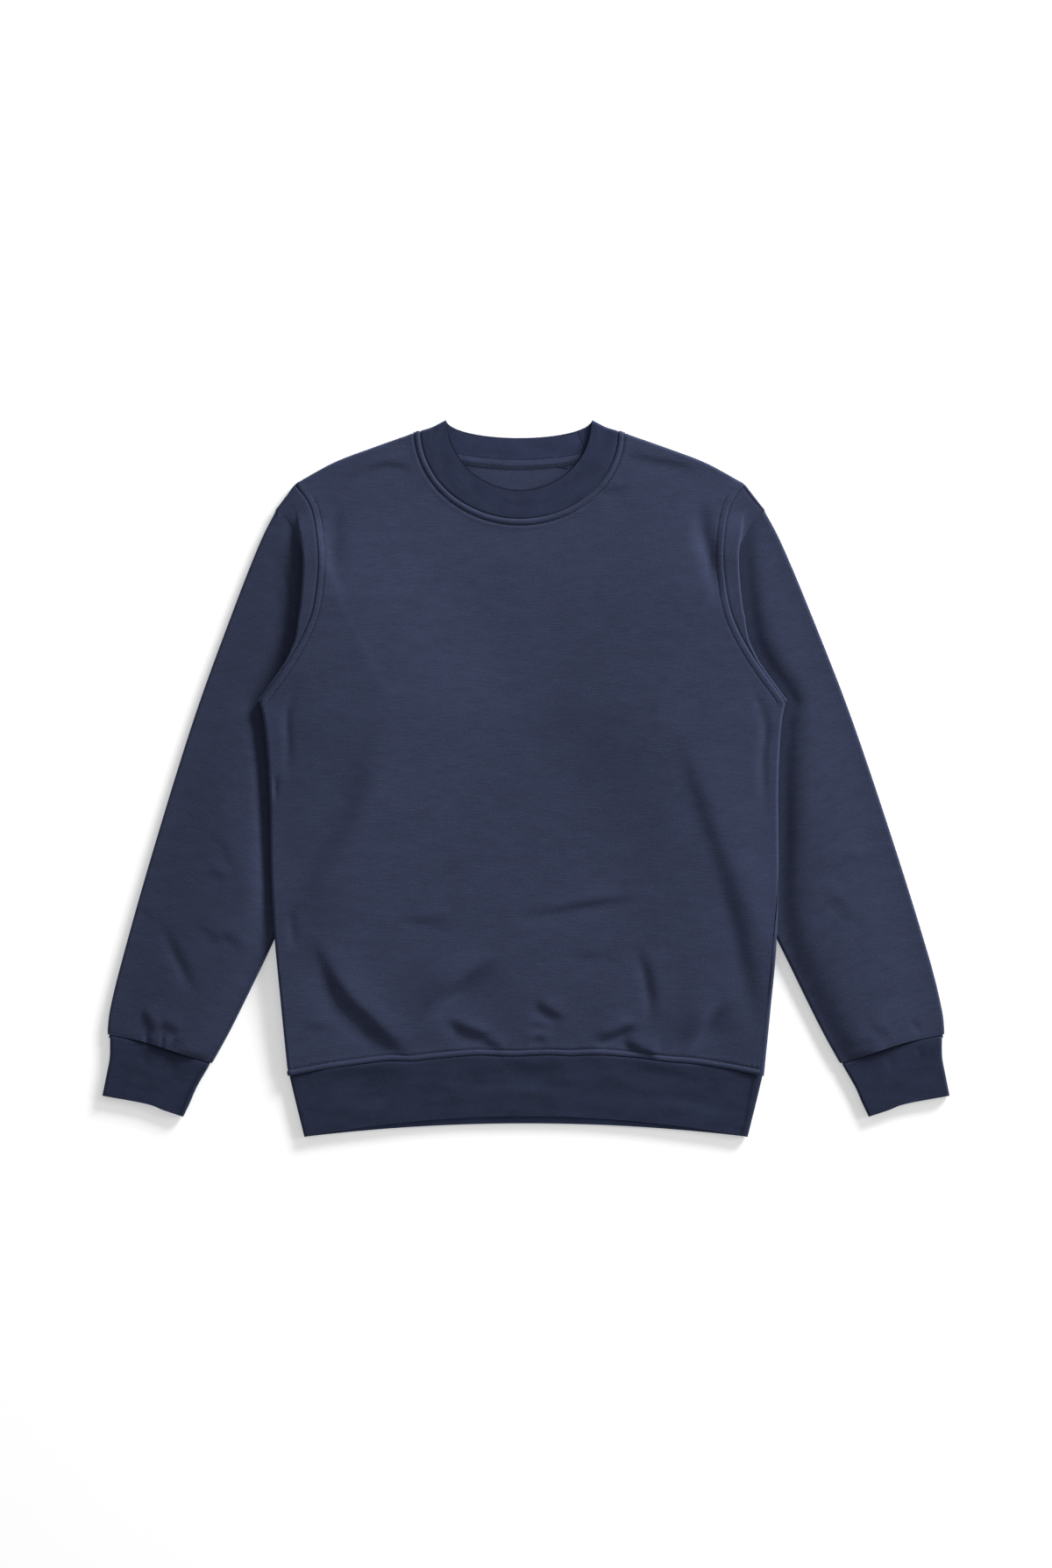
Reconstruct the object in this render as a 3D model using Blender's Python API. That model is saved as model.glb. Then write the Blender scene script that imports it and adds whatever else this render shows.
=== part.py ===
"""Crewneck sweatshirt laid flat on its back, with both sleeves folded down and tucked under the body.

+X runs across the body to the wearer's left, +Y to the neck and +Z up, away from the surface it lies on.
Each piece is the cloth that a maker cuts for it: a thin wall on both sides of a grid of points.
Sizes are in millimetres. Outlines are for the side at +X: how far out from the centre line, and how far up.
"""

import math

import bpy
import numpy as np

METRES = 0.001

# Cloth
FLEECE = 1.6  # one layer of brushed fleece
RIB = 2.6  # rib knit, folded double
TAPE = 1.0
SEAM_GAP = 0.3  # between the pieces on the two sides of a seam
LOFT = 4.0  # from the middle of the back layer to the middle of the front layer
RIB_LOFT = 3.4
NAVY = (0.036, 0.045, 0.085)
NAVY_RIB = (0.024, 0.031, 0.060)

# Body
HEM_HALF, HEM_CORNER_Y = 244.4, -306.0  # where the hem seam meets the side seams
FRONT_HEM_Y, BACK_HEM_Y = -281.0, -288.6  # the hem seam at the centre
UNDERARM = (269.6, 78.3)
SHOULDER = (230.9, 302.5)
NECK_POINT = (101.7, 357.0)  # where the collar seam crosses the shoulder
SIDE = [
    (HEM_HALF, HEM_CORNER_Y), (251.6, -234), (257.4, -168), (260.3, -100),
    (261, -10), (264.7, 52), UNDERARM,
]
ARMHOLE = [SHOULDER, (214.7, 277), (208.3, 238), (209, 205), (216, 166.5), (236, 126), UNDERARM]
SHOULDER_SLOPE = [SHOULDER, (191.7, 324), (154.4, 338.4), NECK_POINT]
LEFT_SEAM_ROLL, RIGHT_SEAM_ROLL = 5.0, -3.5  # how far on to the front each side seam has rolled
HEM_ROLL = -0.5, 0.8, -0.4  # the front's rows next to the hem band, as it rolls over the seam

# Hem band
BAND_TOP_HALF, BAND_HALF, BAND_CORNER_Y = 243.0, 227.7, -368.4
FRONT_BAND_Y, BACK_BAND_Y = -347.0, -354.6  # its lower edge at the centre
BAND_SIDE = [(BAND_HALF, BAND_CORNER_Y), (236.5, -333), (BAND_TOP_HALF, HEM_CORNER_Y - 1)]

# Collar: its edges are the lower halves of ellipses
FRONT_NECK_DROP, BACK_NECK_DROP = 90.6, 29.4
COLLAR_PEAK = (74.8, 368.4)  # where the collar folds from front to back
COLLAR_FOLD = [NECK_POINT, (89, 361), COLLAR_PEAK]
FRONT_COLLAR_DROP, BACK_COLLAR_DROP = 73.3, 18.7
TAPE_WIDTH = 9.5
TAPE_ENDS = 0.10, 0.90  # as shares of the back neck seam

# Sleeves
SLEEVE_LENGTH = 380.0  # of the stretch that lies on the surface
OUTER_EDGE = [
    (249.8, 277), (268.2, 241), (297.5, 169), (338, 61),
    (381.6, -74), (413.6, -182), (427, -236), (430.2, -263),
]
INNER_EDGE = [(144, 71), (203, -52), (260.6, -171), (300.2, -252), (322.5, -293)]
CUFF_SEAM = [(430.2, -263), (390, -271.5), (351, -284), (322.5, -293)]
CUFF_OUTER = [(435.2, -326), (430.6, -303), (427.6, -286), (427.4, -264.3)]
CUFF_INNER = [(352, -347.6), (345, -333), (338, -317), (324.6, -293.6)]
CUFF_END = [(352, -347.6), (372, -341), (390, -334.4), (435.2, -326)]
CUFF_TOP = [(324.6, -293.6), (351, -285.2), (390, -272.7), (427.4, -264.3)]
TUCK_CORNER, TUCK_HEAD, TUCK_FOOT = (144, 71), (234, 258), (260.6, -171)  # the stretch hidden under the body
TUCK_FOLD = [(249.8, 277), TUCK_HEAD, (201, 190), TUCK_CORNER]  # where the sleeve turns back out
RIGHT_SLEEVE_ROLL, LEFT_SLEEVE_ROLL = 3.2, -2.5  # how far on to the front each underarm seam has rolled

# Layers where a sleeve is tucked under the body
PLEAT = [  # share of the armhole from the shoulder down, and how far the pleat stands out from its seam
    {"share": 0.0, "width": 17.0},
    {"share": 0.2, "width": 17.5},
    {"share": 0.3, "width": 16.0},
    {"share": 0.5, "width": 14.0},
    {"share": 0.6, "width": 11.5},
    {"share": 0.7, "width": 6.0},
    {"share": 0.8, "width": 3.4},
    {"share": 1.0, "width": 3.2},
]
PLEAT_ROUND = 2.2
FOLDED_OVERHANG = 12.0  # a pleat that stands out this far beyond the hidden fold comes back in full
TURNED_OVERHANG = 4.0
HIDDEN_BULGE = 1.5  # of the sleeve's back round its front, in pressed lofts
TUCK_EASE = 0.5  # how far the hidden fold's shares lag behind the armhole's
LAPPED_FROM, LAPPED_RISE = 2.2, 2.5  # how high the body is raised where the sleeve's back starts to run in
SHOULDER_BLEND = 0.2  # the share of the armhole over which the pleat's direction settles
PRESSED_LOFT = 2.1  # between layers that lie pressed together
PRESSED_FLEECE = 1.1  # a layer that the body presses flat
PRESSED_HEAD_Y, PRESSED_HEAD_FADE = 275.0, 36.0  # it is full above this height
PRESSED_TO, PRESSED_FADE = 26.0, 30.0  # how far beyond the pleat the sleeve stays pressed, and then fills out
TUCK_SLOPE = 32.0  # how wide the body's slope is, up on to the tucked sleeve
TUCK_MARGIN = 8.0  # how far beyond the sleeve the body stays raised
SHOULDER_EASE, SHOULDER_EASE_END = 0.6, 0.06  # the sleeve stands off a little round the panels' fold
LAP, LAP_GAP = 3.9, 0.55  # how far the sleeve's back runs in under the back panel, and its gap there
TUCK_HEAD_FADE = 300.0, 250.0  # the body comes down to the shoulder between these heights

# The garment leans a little to one side, as it was laid down
LEAN = -7.2
LEAN_FOOT_Y, LEAN_HEAD_Y = -190.0, 367.0

# Large soft folds: both ends, half the width, and the rise of the cloth
FRONT_FOLDS = [
    {"start": (-226, -150), "end": (-122, -280), "half_width": 17, "rise": -1.5},
    {"start": (-190, -140), "end": (-88, -268), "half_width": 22, "rise": 3.0},
    {"start": (-92, -250), "end": (-24, -268), "half_width": 14, "rise": -1.2},
    {"start": (-96, -226), "end": (-18, -243), "half_width": 17, "rise": 2.4},
    {"start": (60, -268), "end": (124, -252), "half_width": 14, "rise": -1.1},
    {"start": (56, -240), "end": (118, -224), "half_width": 17, "rise": 2.2},
    {"start": (126, -165), "end": (132, -255), "half_width": 14, "rise": -1.4},
    {"start": (152, -170), "end": (160, -245), "half_width": 19, "rise": 2.0},
    {"start": (218, -168), "end": (174, -256), "half_width": 16, "rise": -1.2},
    {"start": (-200, 270), "end": (-190, 195), "half_width": 16, "rise": -1.0},
    {"start": (200, 270), "end": (190, 195), "half_width": 16, "rise": -1.0},
]
SLEEVE_FOLDS = [
    {"start": (385, -222), "end": (402, -262), "half_width": 12, "rise": 1.8},
    {"start": (340, -205), "end": (392, -170), "half_width": 20, "rise": 1.4},
    {"start": (300, -60), "end": (356, -90), "half_width": 20, "rise": 1.2},
]

FRONT, BACK = 0, 1
EDGE_STEP = 1.9  # between the rows or columns next to a seam
ARMHOLE_CORNER = 7.0  # from the ends of the armhole to the next rows
PLEAT_ROWS = 11
LEAST_STEP = 0.6  # between the rows of a pleat


def smoothstep(x):
    x = np.clip(x, 0.0, 1.0)
    return x * x * (3 - 2 * x)


def mix(a, b, share):
    return a + (b - a) * share


def unit(vectors):
    return vectors / np.linalg.norm(vectors, axis=-1, keepdims=True)


def cross(a, b):
    """The cross product of flat vectors."""
    return a[..., 0] * b[..., 1] - a[..., 1] * b[..., 0]


def with_height(plan, height):
    return np.concatenate([plan, np.broadcast_to(height, plan.shape[:-1])[..., None]], axis=-1)


def line(points):
    """The line through the points, as a function of the share of its length."""
    points = np.array(points, float)
    travelled = np.concatenate([[0], np.cumsum(np.linalg.norm(np.diff(points, axis=0), axis=1))])

    def at(share):
        way = np.asarray(share, float) * travelled[-1]
        return np.stack([np.interp(way, travelled, points[:, k]) for k in range(2)], axis=-1)

    at.length = travelled[-1]
    at.points = points
    return at


def smooth_curve(points, steps=24):
    """A smooth line through the points (Catmull-Rom)."""
    p = np.array(points, float)
    p = np.vstack([2 * p[0] - p[1], p, 2 * p[-1] - p[-2]])
    t = np.linspace(0, 1, steps, endpoint=False)[:, None]
    runs = [
        0.5 * (2 * b + (c - a) * t + (2 * a - 5 * b + 4 * c - d) * t**2 + (3 * b - a - 3 * c + d) * t**3)
        for a, b, c, d in zip(p, p[1:], p[2:], p[3:])
    ]
    return line(np.vstack(runs + [p[-2:-1]]))


def neck_curve(end, drop, steps=64):
    """The lower half of an ellipse between two points at one height, from right to left of the wearer."""
    turn = np.linspace(-math.pi / 2, math.pi / 2, steps)
    return line(np.stack([end[0] * np.sin(turn), end[1] - drop * np.cos(turn)], axis=-1))


def hem_curve(half, centre_y, corner_y, steps=40):
    """A shallow arch from right to left of the wearer."""
    x = np.linspace(-half, half, steps)
    return line(np.stack([x, mix(centre_y, corner_y, (x / half) ** 2)], axis=-1))


def mirrored(curve):
    return line(curve.points * [-1, 1])


def patch(bottom, top, left, right):
    """The smooth patch between four edges. Across goes 0 to 1 from left to right, and up 0 to 1."""

    def at(across, up):
        q = np.asarray(across, float)[..., None]
        v = np.asarray(up, float)[..., None]
        lower = mix(bottom(0.0), bottom(1.0), q)
        upper = mix(top(0.0), top(1.0), q)
        return mix(bottom(across), top(across), v) + mix(left(up), right(up), q) - mix(lower, upper, v)

    return at


def row_of(plan, up):
    """One row of a patch, as a function of the share across."""

    def at(across):
        across = np.asarray(across, float)
        return plan(across, np.full(across.shape, up))

    return at


def edge_reach(plan, up, end):
    """How far in from the edge, measured square to it, a whole share across would reach at this row."""
    small = 0.002
    inside = abs(end - small)
    ahead = plan(inside, up) - plan(end, up)
    along = unit(plan(end, min(up + small, 1.0)) - plan(end, max(up - small, 0.0)))
    return abs(cross(ahead, along)) / small


def fold_relief(folds, x, y):
    """How much the folds raise the cloth: a soft ridge or trough along each line, faded at its ends."""
    rise = np.zeros_like(x)
    for fold in folds:
        start, end = np.array(fold["start"], float), np.array(fold["end"], float)
        length = np.linalg.norm(end - start)
        direction = (end - start) / length
        along = (x - start[0]) * direction[0] + (y - start[1]) * direction[1]
        aside = (x - start[0]) * direction[1] - (y - start[1]) * direction[0]
        fade = smoothstep(along / (0.3 * length) + 0.5) * smoothstep((length - along) / (0.3 * length) + 0.5)
        rise += fold["rise"] * fade * np.exp(-((aside / fold["half_width"]) ** 2))
    return rise


# How high each layer lies


def tucked_depth(out, y):
    """How far inside the hidden stretch of sleeve a point lies. It is negative outside it."""
    corner, head, foot = (np.array(point, float) for point in (TUCK_CORNER, TUCK_HEAD, TUCK_FOOT))
    place = np.stack([out, y], axis=-1) - corner
    from_fold = cross(place, unit(head - corner))
    from_edge = -cross(place, unit(foot - corner))
    rounding = 5.0
    return -rounding * np.logaddexp(-from_fold / rounding, -from_edge / rounding)


def body_lift(x, y):
    """How much the tucked sleeves raise the body: four layers of cloth at the pleats, two further down."""
    rise = mix(LOFT + FLEECE + SEAM_GAP, 4 * PRESSED_LOFT, smoothstep((y - 10.0) / 50.0))
    slope = smoothstep((tucked_depth(np.abs(x), y) + TUCK_SLOPE + TUCK_MARGIN) / TUCK_SLOPE)
    foot, head = TUCK_HEAD_FADE
    return rise * slope * smoothstep((y - foot) / (head - foot))


def back_height(x, y):
    return FLEECE / 2 + body_lift(x, y)


def front_height(x, y):
    hem_y = mix(FRONT_HEM_Y, HEM_CORNER_Y, (x / HEM_HALF) ** 2)
    return back_height(x, y) + LOFT + smoothstep((y - hem_y) / 18.0) * fold_relief(FRONT_FOLDS, x, y)


def pleat_width(share):
    return np.interp(share, [row["share"] for row in PLEAT], [row["width"] for row in PLEAT])


def square_to(curve, share):
    """The level direction square to a curve, to the left of its way."""
    share = np.asarray(share, float)
    along = curve(share + 0.02) - curve(share - 0.02)
    return unit(np.stack([-along[..., 1], along[..., 0]], axis=-1))


def armhole_outwards(share):
    """The direction out of the armhole. At the shoulder it follows the sleeve's outer edge."""
    outer_edge = unit(np.array(OUTER_EDGE[0], float) - SHOULDER)
    settled = smoothstep(np.asarray(share) / SHOULDER_BLEND)[..., None]
    return unit(mix(outer_edge, square_to(ARMHOLE_LINE, share), settled))


def sleeve_gap(share):
    """From the armhole line to the sleeve's edge."""
    return SEAM_GAP / 2 + SHOULDER_EASE * (1 - smoothstep(np.asarray(share) / SHOULDER_EASE_END))


def sleeve_loft(out, y):
    """Between the sleeve's two layers: pressed together under the pleat, and full a little way beyond it."""
    share = np.linspace(0, 1, 24)
    edge = ARMHOLE_LINE(share) + armhole_outwards(share) * pleat_width(share)[:, None]
    beside = out - np.interp(y, edge[::-1, 1], edge[::-1, 0])
    below = UNDERARM[1] - y
    pressed = 1 - smoothstep((np.maximum(beside, below) - PRESSED_TO) / PRESSED_FADE)
    return mix(LOFT, PRESSED_LOFT, pressed * smoothstep((PRESSED_HEAD_Y - y) / PRESSED_HEAD_FADE))


def sleeve_height(points):
    x, y = points[..., 0], points[..., 1]
    cuff_fade = smoothstep((y + 290.0) / 20.0)
    return FLEECE / 2 + sleeve_loft(x, y) + cuff_fade * fold_relief(SLEEVE_FOLDS, x, y)


def lapped(share):
    """0 where the back of the sleeve meets the back panel edge to edge, 1 where it runs in under it."""
    at = ARMHOLE_LINE(share)
    return smoothstep((body_lift(at[..., 0], at[..., 1]) - LAPPED_FROM) / LAPPED_RISE)


# Columns: each row of a grid takes points at these shares across, and lowers some round the folded edges


def edge_path(way, loft):
    """Inset and share of the drop from front to back, this far along the cloth round a folded edge.
    The way is 0 at the outermost line and positive on the front. Loft is the height of the round."""
    radius = loft / 2
    angle = np.clip(way / radius, -math.pi / 2, math.pi / 2)
    beyond = np.maximum(np.abs(way) - radius * math.pi / 2, 0.0)
    return radius * (1 - np.cos(angle)) + beyond, (1 - np.sin(angle)) / 2


def seam_columns(layer, count, roll=0.0, loft=LOFT, gap=SEAM_GAP / 2):
    """Insets and drops of the columns that run in from a seam, after one spare column beyond it.
    The seam has rolled this far on to the front. With a loft of 0 the edge isn't folded."""
    steps = np.arange(-1, count) * EDGE_STEP + gap
    if not loft:
        return steps, np.full(count + 1, float(layer))
    steps = steps * loft / LOFT
    inset, drop = edge_path(roll + steps if layer == FRONT else roll - steps, loft)
    return inset + FLEECE / 2, drop


def lay(front, back, columns, rows):
    """A grid of points, each between the front and the back layer by its column's drop."""
    grid = []
    for row in range(rows):
        front_share, back_share, drop = columns(row)
        grid.append(mix(front(front_share, row), back(back_share, row), drop[:, None]))
    return np.array(grid)


# Walls and their material


def half_turn(grid, axis, closed):
    """The mean direction along an axis at each point. Its length is the cosine of half the turn there."""
    if closed:
        ahead = np.roll(grid, -1, axis=axis) - grid
        behind = grid - np.roll(grid, 1, axis=axis)
    else:
        steps = np.diff(grid, axis=axis)
        ahead = np.concatenate([steps, np.take(steps, [-1], axis=axis)], axis=axis)
        behind = np.concatenate([np.take(steps, [0], axis=axis), steps], axis=axis)
    return (unit(ahead) + unit(behind)) / 2


def wall(name, grid, thickness, colour, closed=False):
    """A closed wall of cloth round a grid of points. An open grid has a spare column at each side,
    which only sets how the edge faces."""
    lean = LEAN * np.clip((grid[..., 1] - LEAN_FOOT_Y) / (LEAN_HEAD_Y - LEAN_FOOT_Y), 0, 1.1)
    grid = grid + lean[..., None] * np.array([1.0, 0.0, 0.0])
    across, up = half_turn(grid, 1, closed), half_turn(grid, 0, False)
    mitre = np.linalg.norm(across, axis=2) * np.linalg.norm(up, axis=2)
    aside = unit(np.cross(across, up)) * (thickness / 2 / np.maximum(mitre, 0.6))[..., None]
    over, under = grid + aside, grid - aside
    if not closed:
        over, under = over[:, 1:-1], under[:, 1:-1]
    rows, columns = over.shape[:2]
    points = np.concatenate([over.reshape(-1, 3), under.reshape(-1, 3)])
    points[:, 2] = np.maximum(points[:, 2], 0.0)
    size = rows * columns
    index = np.arange(size).reshape(rows, columns)
    if closed:
        index = np.concatenate([index, index[:, :1]], axis=1)
    corners = index[:-1, :-1], index[:-1, 1:], index[1:, 1:], index[1:, :-1]
    faces = np.stack([corner.ravel() for corner in corners], axis=1)
    faces = [*faces.tolist(), *(faces[:, ::-1] + size).tolist()]
    rims = [index[0], index[-1][::-1]]
    if not closed:
        rims += [index[::-1, 0], index[:, -1]]
    for rim in rims:
        rim = rim.tolist()
        faces += [(p + size, q + size, q, p) for p, q in zip(rim, rim[1:])]
    mesh = bpy.data.meshes.new(name)
    mesh.from_pydata((points * METRES).tolist(), [], faces)
    mesh.shade_smooth()
    mesh.set_sharp_from_angle(angle=math.radians(50))
    mesh.materials.append(cloth(name, colour))
    made = bpy.data.objects.new(name, mesh)
    bpy.context.scene.collection.objects.link(made)


def cloth(name, colour):
    material = bpy.data.materials.new(name)
    material.use_nodes = True
    shader = material.node_tree.nodes["Principled BSDF"]
    shader.inputs["Base Color"].default_value = (*colour, 1.0)
    shader.inputs["Roughness"].default_value = 0.9
    shader.inputs["Metallic"].default_value = 0.0
    return material


# The body. Each side's edge runs up the side seam, round the armhole and along the shoulder to the neck.

SIDE_LINE = smooth_curve(SIDE)
ARMHOLE_LINE = smooth_curve(ARMHOLE)
SHOULDER_LINE = smooth_curve(SHOULDER_SLOPE)
BODY_EDGE = line(np.vstack([SIDE_LINE.points, ARMHOLE_LINE.points[-2::-1], SHOULDER_LINE.points[1:]]))
UNDERARM_SHARE = SIDE_LINE.length / BODY_EDGE.length
SHOULDER_SHARE = (SIDE_LINE.length + ARMHOLE_LINE.length) / BODY_EDGE.length
ARMHOLE_ROWS = np.linspace(UNDERARM_SHARE + ARMHOLE_CORNER / BODY_EDGE.length,
                           SHOULDER_SHARE - ARMHOLE_CORNER / BODY_EDGE.length, 9)
ROLL_FADE = 0.27, 0.62  # the side seams' roll fades between these shares of the way up to the underarm
ROLL_EASE = 0.3  # the seam opens a little where its roll fades
BACK_ARMHOLE_GAP = 0.9  # more than the front panel's, where the back of the sleeve meets it edge to edge
COLUMN_BLEND = 0.7  # of the slope's width, over which the columns come to follow it
BODY_COLUMNS, EDGE_COLUMNS = 19, 5  # in the middle, and at each side
LEAST_COLUMN = 1 / 28  # of half the body's width, between the columns on the slope
SLOPE_COLUMNS = -TUCK_MARGIN - TUCK_SLOPE * np.array([1, 0.7, 0.3, 0])  # depths that columns follow


def body_rows(hem_ways):
    """Shares up the body's edge, with close rows at the hem and neck seams and round the armhole's ends."""
    from_hem = np.array(hem_ways) / BODY_EDGE.length
    to_neck = 1 - np.array([9.0, SEAM_GAP / 2]) / BODY_EDGE.length
    side = mix(from_hem[-1], UNDERARM_SHARE, np.linspace(0, 1, 14) ** 1.2)
    shoulder = np.linspace(SHOULDER_SHARE, to_neck[0], 5)
    return np.concatenate([from_hem[:-1], side, ARMHOLE_ROWS, shoulder[:-1], to_neck])


def armhole_share(up):
    """The share of the armhole, from the shoulder down, at this share up the body's edge."""
    return (SHOULDER_SHARE - up) / (SHOULDER_SHARE - UNDERARM_SHARE)


def middle_columns(plan, up, first, last):
    """Shares between the seam columns: even ones, or ones that follow the slope on to the tucked sleeves."""
    even = np.linspace(first, last, BODY_COLUMNS + 2)[1:-1]
    side = np.linspace(0.5, last, 80)
    points = row_of(plan, up)(side)
    depth = np.maximum.accumulate(tucked_depth(points[:, 0], points[:, 1])) + np.arange(80) * 1e-4
    room = LEAST_COLUMN * (last - 0.5) * np.arange(len(SLOPE_COLUMNS) + 2, 2, -1)
    slope = np.minimum(np.interp(SLOPE_COLUMNS, depth, side), last - room)
    right = np.concatenate([slope, mix(slope[-1], last, np.array([1, 2]) / 3)])
    centre = np.linspace(1 - right[0], right[0], BODY_COLUMNS - 2 * len(right) + 2)[1:-1]
    following = np.concatenate([1 - right[::-1], centre, right])
    return mix(even, following, smoothstep((depth[-1] - SLOPE_COLUMNS[0]) / (COLUMN_BLEND * TUCK_SLOPE)))


def body_panel(name, layer, neck_drop, hem_y, rows_up):
    """One panel. It gives back the shares across of its columns at the neck, for the collar to meet."""
    plan = patch(hem_curve(HEM_HALF, hem_y, HEM_CORNER_Y), neck_curve(NECK_POINT, neck_drop),
                 mirrored(BODY_EDGE), BODY_EDGE)
    hem_roll = HEM_ROLL if layer == FRONT else ()

    def columns(row):
        up = rows_up[row]
        in_armhole = UNDERARM_SHARE < up < SHOULDER_SHARE
        rolled = smoothstep((ROLL_FADE[1] - up / UNDERARM_SHARE) / (ROLL_FADE[1] - ROLL_FADE[0]))
        gap = SEAM_GAP / 2 + ROLL_EASE * 4 * rolled * (1 - rolled)
        if in_armhole and layer == BACK:
            gap += mix(BACK_ARMHOLE_GAP, LAP + LAP_GAP - SEAM_GAP / 2, float(lapped(armhole_share(up))))
        sides = []
        for end, roll in ((0.0, RIGHT_SEAM_ROLL * rolled), (1.0, LEFT_SEAM_ROLL * rolled)):
            inset, edge_drop = seam_columns(layer, EDGE_COLUMNS, roll, 0.0 if in_armhole else LOFT, gap)
            sides.append((inset / edge_reach(plan, up, end), edge_drop))
        (left, left_drop), (right, right_drop) = sides
        inner = middle_columns(plan, up, left[-1], 1 - right[-1])
        across = np.concatenate([left, inner, 1 - right[::-1]])
        drop = np.concatenate([left_drop, np.full(BODY_COLUMNS, float(layer)), right_drop[::-1]])
        return across, across, drop

    def front(across, row):
        points = row_of(plan, rows_up[row])(across)
        height = front_height if layer == FRONT else lambda x, y: back_height(x, y) + LOFT
        roll = hem_roll[row] if row < len(hem_roll) else 0.0
        return with_height(points, height(points[:, 0], points[:, 1]) + roll)

    def back(across, row):
        points = row_of(plan, rows_up[row])(across)
        return with_height(points, back_height(points[:, 0], points[:, 1]))

    wall(name, lay(front, back, columns, len(rows_up)), FLEECE, NAVY)
    return columns(len(rows_up) - 1)[0][1:-1]


# Sleeves. Each grid starts at the armhole: the rows of the pleat, then the stretch on the surface.

TUCK_CURVE = smooth_curve(TUCK_FOLD)


def tuck_line(share):
    """The hidden fold. Its shares are eased, to lie across from the same shares of the armhole."""
    share = np.asarray(share, float)
    return TUCK_CURVE(share - TUCK_EASE * share * (1 - share) ** 2)


SLEEVE_PATCH = patch(tuck_line, smooth_curve(CUFF_SEAM), smooth_curve(OUTER_EDGE), smooth_curve(INNER_EDGE))


def rounded_fold(folded, place, bulge, ramp, layers, ramp_heights, steps=12):
    """The points of a fold. A true fold bulges and comes back to its place on another layer, and a ramp
    runs on past its place. folded is the share of the true fold in the mixture."""
    path = []
    for turn in np.linspace(0, 1, steps):
        moved = mix(ramp * (2 * turn - 1), bulge * math.sin(math.pi * turn), folded[:, None])
        fold_height = mix(*layers, (1 - math.cos(math.pi * turn)) / 2)
        path.append(with_height(place + moved, mix(mix(*ramp_heights, turn), fold_height, folded)))
    return path


def paced(path, stops):
    """The path's points, one for each row of the pleat. stops gives the place in the path of some rows.
    The other rows lie evenly between them, and no two rows are closer than the least step."""
    path = np.array(path)
    steps = np.linalg.norm(np.diff(path, axis=0), axis=2)
    travelled = np.concatenate([np.zeros((1, path.shape[1])), np.cumsum(steps, axis=0)])
    rows = np.arange(PLEAT_ROWS)
    points = []
    for column in range(path.shape[1]):
        way = travelled[:, column]
        spare = np.maximum(np.diff(np.interp(rows, list(stops), way[list(stops.values())])) - LEAST_STEP, 0)
        pace = LEAST_STEP + spare * (way[-1] - LEAST_STEP * rows[-1]) / spare.sum()
        target = np.concatenate([[0], np.cumsum(pace)])
        points.append(np.stack([np.interp(target, way, path[:, column, k]) for k in range(3)], axis=-1))
    return np.array(points)


def pleat_front(share):
    """The front of the sleeve from the armhole seam: out to the pleat's edge, back under it, and round
    the hidden fold. Near the shoulder there is no room to come back, and it only steps down."""
    seam, out = ARMHOLE_LINE(share), armhole_outwards(share)
    tuck, onward = tuck_line(share), square_to(tuck_line, share)
    top, bottom = front_height(seam[:, 0], seam[:, 1]), sleeve_height(tuck)
    edge = seam + out * pleat_width(share)[:, None]
    overhang = ((edge - tuck) * out).sum(axis=1)
    folded = (np.clip(overhang / FOLDED_OVERHANG, -1, 1) + 1) / 2
    under = FLEECE / 2 + 2 * PRESSED_LOFT
    step = 0.2 * (top - bottom)
    outer, inner = out * PLEAT_ROUND, onward * PRESSED_LOFT / 2
    start = [with_height(seam + out * sleeve_gap(share)[:, None], top)]
    upper_fold = rounded_fold(folded, edge - outer, outer, outer, (top, under), (top, top - step))
    lower_fold = rounded_fold(folded, tuck, -inner, inner, (under, bottom), (bottom + step, bottom))
    return paced(start + upper_fold + lower_fold, {0: 0, 1: 1, 5: 12, 6: 13, 10: 24})


def pleat_back(share):
    """The back of the sleeve from the armhole seam: in under the back panel and round the hidden fold."""
    seam, out = ARMHOLE_LINE(share), armhole_outwards(share)
    tuck, onward = tuck_line(share), square_to(tuck_line, share)
    lap = lapped(share)
    start = seam + out * (sleeve_gap(share) - LAP * lap)[:, None]
    top, bottom = back_height(seam[:, 0], seam[:, 1]) - PRESSED_LOFT * lap, np.full(len(share), FLEECE / 2)
    overhang = ((start - tuck) * out).sum(axis=1)
    turning = mix(tuck, start, smoothstep(0.5 - overhang / TURNED_OVERHANG)[:, None])
    path = [with_height(start, top)]
    for turn in np.linspace(0.02, 1, 24):
        bulge = onward * HIDDEN_BULGE * PRESSED_LOFT * math.sin(math.pi * turn) * lap[:, None]
        height = mix(top, bottom, (1 - math.cos(math.pi * turn)) / 2)
        path.append(with_height(mix(turning, tuck, turn) - bulge, height))
    return paced(path, {0: 0, 2: 1, 10: 24})


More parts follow.
